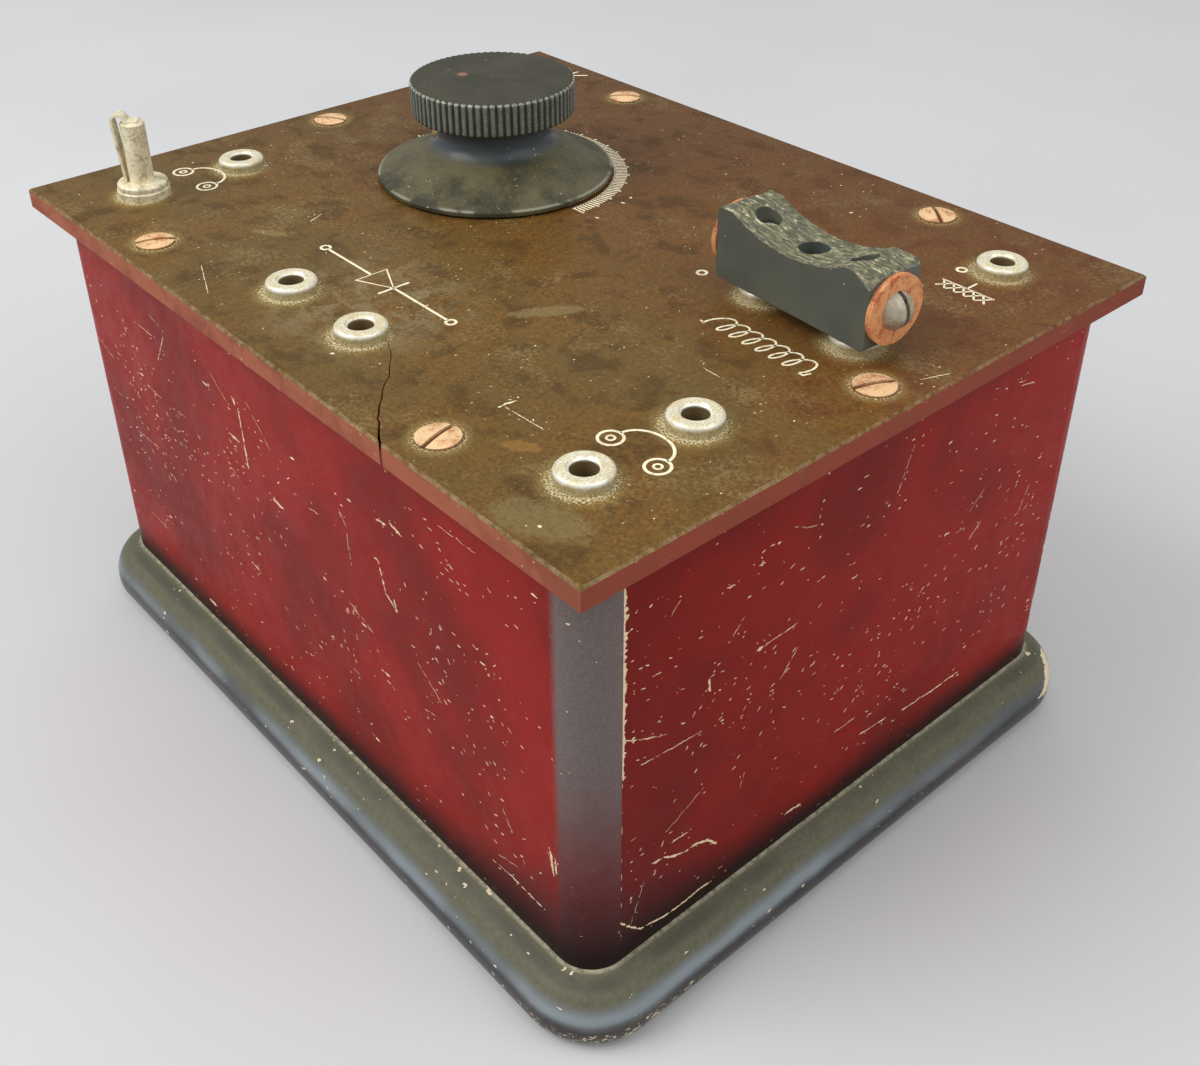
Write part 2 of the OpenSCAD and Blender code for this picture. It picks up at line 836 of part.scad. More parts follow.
module rotor_section() {
    difference() {
        union() {
            intersection() {
                circle(rotor_r, $fn = 128);
                half_plane(-1, edge_gap);
            }
            circle(hub_r + lug_rim);
        }
        circle(spindle_r + fit);
    }
}

module rotor_plates() {
    color("#b4b6b4")
        at_knob()
            for (i = [0:rotor_n - 1])
                translate([0, 0, rotor_z - i * plate_pitch])
                    linear_extrude(plate_t) rotor_section();
}

module rotor_spacers() {
    color("#b9985a")
        at_knob()
            for (i = [0:rotor_n - 2])
                translate([0, 0, rotor_z - (i + 1) * plate_pitch + plate_t])
                    ring(2 * hub_r, spindle_d + 2 * fit, plate_pitch - plate_t);
}

module rotor_nut() {
    color("#b9985a")
        at_knob()
            translate([0, 0, rotor_low_z - rotor_nut_t])
                hex_nut(2 * hub_r * cos(30), spindle_d + 2 * fit, rotor_nut_t);
}

module stator_section() {
    difference() {
        union() {
            intersection() {
                circle(stator_r, $fn = 128);
                half_plane(1, edge_gap);
            }
            for (a = post_angles)
                rotate(a) translate([post_ring, 0]) circle(post_spacer_d / 2 + lug_rim);
        }
        circle(hub_r + hub_gap);
        for (a = post_angles)
            rotate(a) translate([post_ring, 0]) circle(d = post_d + 2 * fit);
    }
}

module stator_plates() {
    color("#b4b6b4")
        at_knob()
            for (i = [0:stator_n - 1])
                translate([0, 0, stator_z - i * plate_pitch])
                    linear_extrude(plate_t) stator_section();
}

module stator_spacers() {
    color("#b9985a")
        at_posts() {
            translate([0, 0, stator_z + plate_t])
                ring(post_spacer_d, post_d + 2 * fit, stack_top);
            for (i = [1:stator_n - 1])
                translate([0, 0, stator_z - i * plate_pitch + plate_t])
                    ring(post_spacer_d, post_d + 2 * fit, plate_pitch - plate_t);
            translate([0, 0, lower_end_z + end_t])
                ring(post_spacer_d, post_d + 2 * fit, stack_low);
        }
}

module stator_posts() {
    color("#b9985a")
        at_posts()
            translate([0, 0, post_end_z])
                cylinder(d = post_d, h = upper_end_z + post_in - post_end_z);
}

module post_nuts() {
    color("#b9985a")
        at_posts()
            translate([0, 0, lower_end_z - post_nut_t])
                hex_nut(post_nut_af, post_d + 2 * fit, post_nut_t);
}

module upper_end_plate() {
    color("#2a2622")
        difference() {
            at_knob()
                translate([0, 0, upper_end_z]) ring(2 * end_r, bush_d + 2 * fit, end_t);
            at_posts()
                translate([0, 0, upper_end_z - 1])
                    cylinder(d = post_d + 2 * fit, h = post_in + 1 + fit);
        }
}

module lower_end_plate() {
    color("#2a2622")
        difference() {
            at_knob()
                translate([0, 0, lower_end_z])
                    ring(2 * end_r, 2 * (bearing_r + fit), end_t);
            at_posts()
                translate([0, 0, lower_end_z - 1])
                    cylinder(d = post_d + 2 * fit, h = end_t + 2);
        }
}

module lower_bearing() {
    color("#b9985a")
        at_knob()
            translate([0, 0, lower_end_z])
                difference() {
                    union() {
                        cylinder(r = bearing_r, h = end_t + low_flange_t);
                        translate([0, 0, end_t])
                            cylinder(r = bearing_r + bearing_rim, h = low_flange_t);
                    }
                    translate([0, 0, -1])
                        cylinder(r = spindle_end_r + run, h = end_t + low_flange_t + 2);
                }
}

// Springy brass strip under the lower plate: it feeds the moving plates
module rotor_contact() {
    color("#c9b27a")
        at_knob()
            translate([0, strip_w / 2, 0])
                rotate([90, 0, 0])
                    linear_extrude(strip_w) {
                        translate([-strip_w / 2, strip_z - strip_t])
                            square([strip_len + strip_w / 2, strip_t]);
                        translate([strip_len - strip_t, strip_z - strip_t])
                            square([strip_t, lower_end_z - strip_z + strip_t]);
                        translate([strip_len - strip_t, lower_end_z - strip_t])
                            square([strip_w + strip_t, strip_t]);
                    }
}

// Mica block condenser across the right phone pair

module mica_condenser() {
    color("#3a2c20")
        translate([side_x, mica_y, top_z - socket_len - strap_t])
            translate([-mica_w / 2, -mica_l / 2, -mica_h]) cube([mica_w, mica_l, mica_h]);
}

module mica_straps() {
    foot = (pitch - mica_l) / 2 + tube_d / 2;
    color("#c9b27a")
        for (s = [-1, 1])
            translate([side_x - strap_w / 2, mica_y, top_z - socket_len - strap_t])
                mirror([0, s < 0 ? 1 : 0, 0]) {
                    translate([0, mica_l / 2, 0]) cube([strap_w, foot, strap_t]);
                    translate([0, mica_l / 2, -mica_h / 2])
                        cube([strap_w, strap_t, mica_h / 2 + strap_t]);
                }
}

// Hook-up wires

function way(a, b) = (b - a) / norm(b - a);

// Angle through which the wire turns at point i, and what the bend takes off each side
function turn_at(p, i) = acos(way(p[i - 1], p[i]) * way(p[i], p[i + 1]));
function trim_at(p, i) =
    i == 0 || i == len(p) - 1 ? 0 : wire_bend * tan(turn_at(p, i) / 2);

module rod(a, b) {
    v = b - a;
    translate(a)
        rotate([0, acos(v[2] / norm(v)), atan2(v[1], v[0])])
            cylinder(r = wire_r, h = norm(v));
}

// Round bend at point i, from the straight before it to the straight after it
module bend(p, i) {
    along = way(p[i - 1], p[i]);
    next = way(p[i], p[i + 1]);
    inward = next - along * (along * next);
    out = -inward / norm(inward);
    axis = cross(out, along);
    middle = p[i] - along * trim_at(p, i) - out * wire_bend;
    multmatrix([
        [out[0], along[0], axis[0], middle[0]],
        [out[1], along[1], axis[1], middle[1]],
        [out[2], along[2], axis[2], middle[2]]])
        rotate_extrude(angle = turn_at(p, i)) translate([wire_bend, 0]) circle(wire_r);
}

module wire(p) {
    color("#b5b0a2") {
        for (i = [0:len(p) - 2])
            rod(p[i] + way(p[i], p[i + 1]) * trim_at(p, i),
                p[i + 1] - way(p[i], p[i + 1]) * trim_at(p, i + 1));
        for (i = [1:len(p) - 2]) bend(p, i);
    }
}

function tenths(x) = round(x * 10) / 10;

// Place under a terminal's solder tag at distance r from its axis
function on_tag(t, r) =
    [tenths(t[1] + r * cos(t[3])), tenths(t[2] + r * sin(t[3])), tag_z];

// Wire that drops from a point, runs along a level through the given corners and rises again
module bridge(a, b, z, corners) {
    wire(concat([a, [a[0], a[1], z]], [for (c = corners) [c[0], c[1], z]],
        [[b[0], b[1], z], b]));
}

// The same without corners, drawn along its own X axis
module straight_bridge(a, b, z) {
    v = b - a;
    span = norm([v[0], v[1]]);
    translate([a[0], a[1], 0])
        rotate([0, 0, atan2(v[1], v[0])])
            wire([[0, 0, a[2]], [0, 0, z], [span, 0, z], [span, 0, b[2]]]);
}

function under_post(a) = [post_at(a)[0], post_at(a)[1], post_end_z];

module aerial_wire() {
    straight_bridge(on_tag(SOCKETS[7], far_tag), under_post(90), low_level);
}

module stator_wire() {
    straight_bridge(under_post(8), on_tag(SOCKETS[5], far_tag), low_level);
}

module detector_wire() {
    a = on_tag(SOCKETS[5], near_tag);
    b = on_tag(SOCKETS[0], near_tag);
    bridge(a, b, level[1], [[a[0], detector_lane], [b[0], detector_lane]]);
}

module phone_wire_left() {
    a = on_tag(SOCKETS[1], far_tag);
    b = on_tag(PIN, far_tag);
    bridge(a, b, level[2], [[b[0], a[1]]]);
}

module phone_wire_right() {
    a = on_tag(SOCKETS[1], near_tag);
    b = on_tag(SOCKETS[3], far_tag);
    bridge(a, b, level[0], [[b[0], a[1]]]);
}

module phone_return_wire() {
    a = on_tag(SOCKETS[2], far_tag);
    b = on_tag(SOCKETS[4], far_tag);
    bridge(a, b, level[3], [[a[0], rear_lane], [b[0], rear_lane]]);
}

module coil_return_wire() {
    straight_bridge(on_tag(SOCKETS[4], near_tag), on_tag(SOCKETS[6], near_tag), level[0]);
}

module earth_wire() {
    straight_bridge(on_tag(SOCKETS[8], far_tag), on_tag(SOCKETS[6], far_tag), level[0]);
}

module rotor_wire() {
    a = [tenths(knob_x + strip_len + strip_w / 2), row_y, lower_end_z - strip_t];
    b = on_tag(SOCKETS[8], near_tag);
    bridge(a, b, rotor_level, [[a[0], rotor_lane], [b[0], rotor_lane]]);
}

// Coil block with its two plug pins, end washers and end screws

module block_section() {
    difference() {
        for (m = [0, 1])
            mirror([m, 0])
                moulded_section(block_l / 2, block_h, block_top_r, block_low_r);
        translate([-saddle_off, block_h + saddle_edge]) circle(saddle_r, $fn = 180);
    }
}

module coil_block() {
    color("#23221f")
        at_coil()
            difference() {
                translate([0, block_w / 2, block_z])
                    rotate([90, 0, 0])
                        linear_extrude(block_w) block_section();
                translate([0, 0, block_z + block_h - saddle_deep - mid_hole_deep])
                    cylinder(d = mid_hole_d, h = saddle_deep + mid_hole_deep + 1);
                for (s = [-1, 1]) {
                    translate([s * pitch / 2, 0, block_z - 1])
                        cylinder(d = plug_thread_d + 2 * fit, h = block_h + 2);
                    translate([s * pitch / 2, 0, block_z + block_h - pin_recess - 1])
                        cylinder(d = top_hole_d, h = pin_recess + 2);
                    translate([s * (block_l / 2 + 1), 0, block_z + washer_z])
                        rotate([0, -s * 90, 0])
                            cylinder(d = screw_d + 2 * fit, h = end_hole_len + 1);
                }
            }
}

module coil_pin(s) {
    top = block_h - pin_recess;
    color("#cfcab8")
        at_coil()
            translate([s * pitch / 2, 0, block_z]) {
                cylinder(d = plug_thread_d, h = top);
                translate([0, 0, -plug_collar_h])
                    cylinder(d = plug_collar_d, h = plug_collar_h);
                translate([0, 0, -plug_collar_h - plug_len + plug_tip])
                    cylinder(d = plug_d, h = plug_len - plug_tip);
                translate([0, 0, -plug_collar_h - plug_len])
                    cylinder(d1 = plug_tip_d, d2 = plug_d, h = plug_tip);
            }
}

module coil_pin_left() {
    coil_pin(-1);
}

module coil_pin_right() {
    coil_pin(1);
}

module at_block_end(s) {
    at_coil()
        translate([s * block_l / 2, 0, block_z + washer_z])
            rotate([0, s * 90, 0]) children();
}

module coil_washer(s) {
    color("#a5582f") at_block_end(s) ring(washer_d, washer_bore, washer_t);
}

module coil_washer_left() {
    coil_washer(-1);
}

module coil_washer_right() {
    coil_washer(1);
}

// Round-headed screw whose tip stops just short of the plug pin's thread
module coil_end_screw(s) {
    cap_r = (pow(round_head_d / 2, 2) + pow(round_head_h, 2)) / 2 / round_head_h;
    reach = end_hole_len - plug_thread_d / 2 - 2 * fit;
    color("#8f8b7d")
        at_block_end(s)
            difference() {
                union() {
                    translate([0, 0, washer_t])
                        rotate_extrude()
                            intersection() {
                                translate([0, round_head_h - cap_r]) circle(cap_r, $fn = 128);
                                square([round_head_d / 2, round_head_h]);
                            }
                    translate([0, 0, -reach]) cylinder(d = screw_d, h = reach + washer_t);
                }
                translate([-round_head_d, -slot_w / 2, washer_t + round_head_h - slot_deep])
                    cube([2 * round_head_d, slot_w, 2 * slot_deep]);
            }
}

module coil_end_screw_left() {
    coil_end_screw(-1);
}

module coil_end_screw_right() {
    coil_end_screw(1);
}

base_board();
front_wall();
back_wall();
left_wall();
right_wall();
base_screws();
panel();
panel_screws();
for (s = SOCKETS)
    translate([s[1], s[2], top_z]) socket();
contact_pin();
bow_spring();
socket_nuts();
solder_tags();
lock_nuts();
tuning_knob();
grub_screw();
bearing_bush();
bush_nut();
spindle();
spindle_collar();
rotor_plates();
rotor_spacers();
rotor_nut();
stator_plates();
stator_spacers();
stator_posts();
post_nuts();
upper_end_plate();
lower_end_plate();
lower_bearing();
rotor_contact();
mica_condenser();
mica_straps();
aerial_wire();
stator_wire();
detector_wire();
phone_wire_left();
phone_wire_right();
phone_return_wire();
coil_return_wire();
earth_wire();
rotor_wire();
coil_block();
coil_pin_left();
coil_pin_right();
coil_washer_left();
coil_washer_right();
coil_end_screw_left();
coil_end_screw_right();
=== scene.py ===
import json
import math
import random
import bmesh
import bpy
from mathutils import Matrix, Vector, noise


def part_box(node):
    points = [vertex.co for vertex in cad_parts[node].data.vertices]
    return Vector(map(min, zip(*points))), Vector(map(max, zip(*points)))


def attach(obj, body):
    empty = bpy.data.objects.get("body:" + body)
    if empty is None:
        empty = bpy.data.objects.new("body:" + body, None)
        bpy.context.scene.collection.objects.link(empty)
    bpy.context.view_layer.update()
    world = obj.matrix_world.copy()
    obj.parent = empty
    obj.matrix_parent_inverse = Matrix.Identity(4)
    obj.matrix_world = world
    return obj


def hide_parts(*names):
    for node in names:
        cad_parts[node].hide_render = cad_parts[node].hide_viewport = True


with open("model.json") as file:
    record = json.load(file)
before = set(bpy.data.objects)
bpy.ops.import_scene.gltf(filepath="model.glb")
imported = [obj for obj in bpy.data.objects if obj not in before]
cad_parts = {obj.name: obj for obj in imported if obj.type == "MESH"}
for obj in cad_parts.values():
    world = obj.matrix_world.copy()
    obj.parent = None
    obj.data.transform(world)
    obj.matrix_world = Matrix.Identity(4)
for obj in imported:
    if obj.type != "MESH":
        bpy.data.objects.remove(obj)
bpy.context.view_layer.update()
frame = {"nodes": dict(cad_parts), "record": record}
nodes = frame["nodes"]
mm = 0.001
print("frame loaded:", len(nodes), "nodes")


# Sizes read from the CAD pieces, in mm
def boxOf(node):
    low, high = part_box(node)
    return low / mm, high / mm


def middleOf(node):
    low, high = boxOf(node)
    return (low + high) / 2


panelTop = boxOf("panel")[1].z
frontFace = boxOf("front_wall")[0].y
rightFace = boxOf("right_wall")[1].x
leftFace = boxOf("left_wall")[0].x
backFace = boxOf("back_wall")[1].y
baseTop = boxOf("base_board")[1].z
seamY = boxOf("right_wall")[0].y  # where the front board ends on the right side
knobAxis = middleOf("spindle")
coilAxis = middleOf("coil_block")
coilTurn = math.radians(-4)
sockets = ["detector_socket_left", "detector_socket_right", "phone_socket_left",
           "phone_socket_right_front", "phone_socket_right_rear", "coil_socket_left",
           "coil_socket_right", "aerial_socket", "earth_socket"]


# Camera, seen as the photograph was taken
view = {
    "place": (175.0, -143.5, 194.4),  # mm
    "tilt": 57.36,  # degrees from straight down
    "turn": 48.59,
    "roll": -0.10,
    "sensor": 36.0,
    "lens": 42.5,
    "shiftY": -0.0861,
}


def makeCamera():
    data = bpy.data.cameras.new("camera")
    data.sensor_width = view["sensor"]
    data.lens = view["lens"]
    data.shift_y = view["shiftY"]
    data.clip_start = 0.01
    cam = bpy.data.objects.new("camera", data)
    cam.matrix_world = (
        Matrix.Translation(Vector(view["place"]) * mm)
        @ Matrix.Rotation(math.radians(view["turn"]), 4, "Z")
        @ Matrix.Rotation(math.radians(view["tilt"]), 4, "X")
        @ Matrix.Rotation(math.radians(view["roll"]), 4, "Z"))
    bpy.context.scene.collection.objects.link(cam)
    bpy.context.scene.camera = cam


makeCamera()
bpy.context.scene.view_settings.view_transform = "Standard"
print("camera set")


rangeEnds = ("From Min", "From Max", "To Min", "To Max")


# Node graph of one material, with the Principled shader at its end. Lengths are in mm.
class Finish:
    def __init__(self, name):
        self.material = bpy.data.materials.new(name)
        self.material.use_nodes = True
        self.tree = self.material.node_tree
        self.tree.nodes.clear()
        out = self.tree.nodes.new("ShaderNodeOutputMaterial")
        self.shader = self.tree.nodes.new("ShaderNodeBsdfPrincipled")
        self.tree.links.new(self.shader.outputs[0], out.inputs[0])
        coords = self.tree.nodes.new("ShaderNodeTexCoord").outputs["Object"]
        self.place = self.moved(scale=(1 / mm, 1 / mm, 1 / mm), place=coords)
        geometry = self.tree.nodes.new("ShaderNodeNewGeometry")
        self.facing = geometry.outputs["Normal"]

    def put(self, socket, value):
        if isinstance(value, bpy.types.NodeSocket):
            self.tree.links.new(value, socket)
        elif hasattr(value, "__len__") and len(value) == 3 and socket.type == "RGBA":
            socket.default_value = (*value, 1)
        else:
            socket.default_value = value

    def math(self, what, a, b=0.0):
        node = self.tree.nodes.new("ShaderNodeMath")
        node.operation = what
        self.put(node.inputs[0], a)
        self.put(node.inputs[1], b)
        return node.outputs[0]

    def add(self, a, b):
        return self.math("ADD", a, b)

    def sub(self, a, b):
        return self.math("SUBTRACT", a, b)

    def mul(self, a, b):
        return self.math("MULTIPLY", a, b)

    def top(self, a, b):
        return self.math("MAXIMUM", a, b)

    def size(self, a):
        return self.math("ABSOLUTE", a)

    def axes(self, vector=None):
        node = self.tree.nodes.new("ShaderNodeSeparateXYZ")
        self.put(node.inputs[0], vector or self.place)
        return node.outputs

    def moved(self, scale=(1, 1, 1), shift=(0, 0, 0), turn=(0, 0, 0), place=None):
        node = self.tree.nodes.new("ShaderNodeMapping")
        self.put(node.inputs["Vector"], place or self.place)
        node.inputs["Scale"].default_value = scale
        node.inputs["Location"].default_value = shift
        node.inputs["Rotation"].default_value = [math.radians(a) for a in turn]
        return node.outputs[0]

    def noise(self, size, detail=4, rough=0.55, place=None, bend=0.0):
        node = self.tree.nodes.new("ShaderNodeTexNoise")
        self.put(node.inputs["Vector"], place or self.place)
        node.inputs["Scale"].default_value = 1 / size
        node.inputs["Detail"].default_value = detail
        node.inputs["Roughness"].default_value = rough
        node.inputs["Distortion"].default_value = bend
        return node.outputs["Fac"]

    def cells(self, size, place=None):
        node = self.tree.nodes.new("ShaderNodeTexVoronoi")
        self.put(node.inputs["Vector"], place or self.place)
        node.inputs["Scale"].default_value = 1 / size
        return node.outputs["Distance"], self.axes(node.outputs["Color"])[0]

    def distance(self, point, place=None):
        node = self.tree.nodes.new("ShaderNodeVectorMath")
        node.operation = "DISTANCE"
        self.put(node.inputs[0], place or self.place)
        node.inputs[1].default_value = point
        return node.outputs["Value"]

    # Coordinates pushed about by noise, which makes spots ragged
    def warped(self, size, amount, place=None):
        place = place or self.place
        node = self.tree.nodes.new("ShaderNodeTexNoise")
        self.put(node.inputs["Vector"], place)
        node.inputs["Scale"].default_value = 1 / size
        node.inputs["Detail"].default_value = 2
        shift = self.tree.nodes.new("ShaderNodeVectorMath")
        shift.operation = "MULTIPLY_ADD"
        self.put(shift.inputs[0], node.outputs["Color"])
        shift.inputs[1].default_value = (amount, amount, amount)
        self.put(shift.inputs[2], place)
        return shift.outputs[0]

    # From a below low to b above high
    def step(self, value, low, high, a=0.0, b=1.0):
        node = self.tree.nodes.new("ShaderNodeMapRange")
        node.interpolation_type = "SMOOTHSTEP"
        self.put(node.inputs["Value"], value)
        for name, number in zip(rangeEnds, (low, high, a, b)):
            self.put(node.inputs[name], number)
        return node.outputs["Result"]

    # From 1 below low to 0 above high
    def fade(self, value, low, high):
        return self.step(value, low, high, 1.0, 0.0)

    # Value pushed up and down by a tone that runs from 0 to 1
    def ragged(self, value, tone, amount):
        return self.add(value, self.mul(self.sub(tone, 0.5), amount))

    # Color a where share is 0, b where it is 1
    def mix(self, share, a, b, kind="MIX"):
        node = self.tree.nodes.new("ShaderNodeMix")
        node.data_type = "RGBA"
        node.blend_type = kind
        self.put(node.inputs[0], share)
        self.put(node.inputs[6], a)
        self.put(node.inputs[7], b)
        return node.outputs[2]

    # The same for plain numbers
    def blend(self, share, a, b):
        node = self.tree.nodes.new("ShaderNodeMix")
        node.data_type = "FLOAT"
        self.put(node.inputs[0], share)
        self.put(node.inputs[2], a)
        self.put(node.inputs[3], b)
        return node.outputs[0]

    # Spots in cells of one size: share is how many cells have one, dense scales their size
    def flecks(self, size, share, radius, place=None, dense=1.0):
        distance, chance = self.cells(size, place)
        grown = self.mul(self.step(chance, 1 - share, 1, 0.25 * radius, radius), dense)
        spot = self.math("LESS_THAN", distance, grown)
        return self.mul(spot, self.math("GREATER_THAN", chance, 1 - share))

    # Spots of several kinds together, each given as size, share and radius
    def manyFlecks(self, kinds, place=None, dense=1.0):
        spots = self.flecks(*kinds[0], place, dense)
        for kind in kinds[1:]:
            spots = self.top(spots, self.flecks(*kind, place, dense))
        return spots

    # Oval patch on a level face, uneven at its edge
    def patch(self, center, angle, length, width):
        middle = Matrix.Rotation(math.radians(-angle), 2) @ Vector(center)
        scale = (2 / length, 2 / width, 0)
        squeezed = self.moved(scale=scale, place=self.moved(turn=(0, 0, -angle)))
        away = self.distance((middle.x * scale[0], middle.y * scale[1], 0), squeezed)
        away = self.ragged(away, self.noise(1.5, 5, 0.7), 1.2)
        return self.fade(away, 0.75, 1.1)

    def bump(self, height, strength, depth):
        node = self.tree.nodes.new("ShaderNodeBump")
        node.inputs["Strength"].default_value = strength
        node.inputs["Distance"].default_value = depth * mm
        self.put(node.inputs["Height"], height)
        self.put(self.shader.inputs["Normal"], node.outputs[0])

    def set(self, **sockets):
        names = {"color": "Base Color", "rough": "Roughness", "metal": "Metallic",
                 "gloss": "Specular IOR Level", "glossColor": "Specular Tint"}
        for key, value in sockets.items():
            self.put(self.shader.inputs[names[key]], value)
        return self.material


# Floor and lights
stage = {
    "floorColor": (0.62, 0.62, 0.62),
    "floorRough": 0.85,
    "floorSize": 3.0,  # m
    "skyColor": (0.97, 0.98, 1.0),
    "skyLow": 0.28,  # strength at the horizon
    "skyHigh": 0.95,  # and overhead
    "skyRise": (0.15, 0.9),  # how steeply it looks up where each of them is reached
    "aim": (0, 0, 0.05),  # m
    "keyPower": 8.0,
    "keyPlace": (-0.35, -0.75, 0.85),
    "keySize": 0.7,
    "fillPower": 3.0,
    "fillPlace": (0.8, 0.25, 0.7),
    "fillSize": 0.9,
}


def floorFinish():
    f = Finish("floor_paper")
    tone = f.step(f.noise(120, 2), 0.3, 0.7, 0.96, 1.0)
    color = f.mix(1.0, stage["floorColor"], tone, "MULTIPLY")
    return f.set(color=color, rough=stage["floorRough"])


def areaLight(name):
    data = bpy.data.lights.new(name, "AREA")
    data.energy = stage[name + "Power"]
    data.size = stage[name + "Size"]
    lamp = bpy.data.objects.new(name, data)
    lamp.location = stage[name + "Place"]
    toward = Vector(stage["aim"]) - lamp.location
    lamp.rotation_euler = toward.to_track_quat("-Z", "Y").to_euler()
    bpy.context.scene.collection.objects.link(lamp)


def makeStage():
    half = stage["floorSize"] / 2
    mesh = bpy.data.meshes.new("floor")
    mesh.from_pydata([(-half, -half, 0), (half, -half, 0), (half, half, 0), (-half, half, 0)],
                     [], [(0, 1, 2, 3)])
    floor = bpy.data.objects.new("floor", mesh)
    mesh.materials.append(floorFinish())
    bpy.context.scene.collection.objects.link(floor)
    world = bpy.data.worlds.new("sky")
    world.use_nodes = True
    tree = world.node_tree
    back = tree.nodes["Background"]
    back.inputs["Color"].default_value = (*stage["skyColor"], 1)
    coords = tree.nodes.new("ShaderNodeTexCoord")
    axes = tree.nodes.new("ShaderNodeSeparateXYZ")
    tree.links.new(coords.outputs["Generated"], axes.inputs[0])
    rise = tree.nodes.new("ShaderNodeMapRange")
    for name, number in zip(rangeEnds, (*stage["skyRise"], stage["skyLow"], stage["skyHigh"])):
        rise.inputs[name].default_value = number
    tree.links.new(axes.outputs["Z"], rise.inputs["Value"])
    tree.links.new(rise.outputs["Result"], back.inputs["Strength"])
    bpy.context.scene.world = world
    areaLight("key")
    areaLight("fill")


makeStage()
print("stage set")


# Mesh tools, in mm
def solid(name, verts, faces):
    mesh = bpy.data.meshes.new(name)
    mesh.from_pydata([Vector(v) * mm for v in verts], [], faces)
    obj = bpy.data.objects.new(name, mesh)
    bpy.context.scene.collection.objects.link(obj)
    return obj


def dressed(obj, finish, body, smooth=True):
    obj.data.materials.clear()
    obj.data.materials.append(finish)
    obj.data.polygons.foreach_set("use_smooth", [smooth] * len(obj.data.polygons))
    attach(obj, body)
    return obj


def welded(node, name):
    obj = bpy.data.objects.new(name, nodes[node].data.copy())
    bpy.context.scene.collection.objects.link(obj)
    shape = bmesh.new()
    shape.from_mesh(obj.data)
    bmesh.ops.remove_doubles(shape, verts=shape.verts, dist=0.001 * mm)
    shape.to_mesh(obj.data)
    shape.free()
    return obj


def settle(obj):
    ready = obj.evaluated_get(bpy.context.evaluated_depsgraph_get())
    mesh = bpy.data.meshes.new_from_object(ready)
    obj.modifiers.clear()
    obj.data = mesh


def cut(obj, tool):
    modifier = obj.modifiers.new("cut", "BOOLEAN")
    modifier.operation = "DIFFERENCE"
    modifier.solver = "EXACT"
    modifier.object = tool
    bpy.context.view_layer.update()
    settle(obj)
    bpy.data.objects.remove(tool)


# Surface of revolution round Z; the profile runs from the axis below to the axis above.
# bend(r, z, angle) gives each point its final radius and height.
def turned(profile, steps, bend):
    verts, rows, faces = [], [], []
    for r, z in profile:
        if r == 0:
            rows.append([len(verts)] * steps)
            verts.append((0, 0, z))
            continue
        rows.append(list(range(len(verts), len(verts) + steps)))
        for i in range(steps):
            angle = 2 * math.pi * i / steps
            radius, height = bend(r, z, angle)
            verts.append((radius * math.cos(angle), radius * math.sin(angle), height))
    for low, high in zip(rows, rows[1:]):
        for i in range(steps):
            j = (i + 1) % steps
            corners = list(dict.fromkeys([low[i], low[j], high[j], high[i]]))
            if len(corners) > 2:
                faces.append(corners)
    return verts, faces


def placed(verts, matrix):
    return [matrix @ Vector(v) for v in verts]


def arc(centerR, centerZ, radius, start, end, steps):
    points = []
    for i in range(steps + 1):
        angle = math.radians(start + (end - start) * i / steps)
        points.append((centerR + radius * math.cos(angle), centerZ + radius * math.sin(angle)))
    return points


def waver(point, size, seed=0.0):
    return noise.noise(Vector(point) / size + Vector((seed, seed, seed)))


# Where flat marks lie: u and v along the face, w out of it
def onPanel(u, v, w):
    return (u, v, panelTop + w)


def onFront(u, v, w):
    return (u, frontFace - w, v)


def onRight(u, v, w):
    return (rightFace + w, u, v)


def onBack(u, v, w):
    return (-u, backFace + w, v)


def onLeft(u, v, w):
    return (leftFace - w, -u, v)


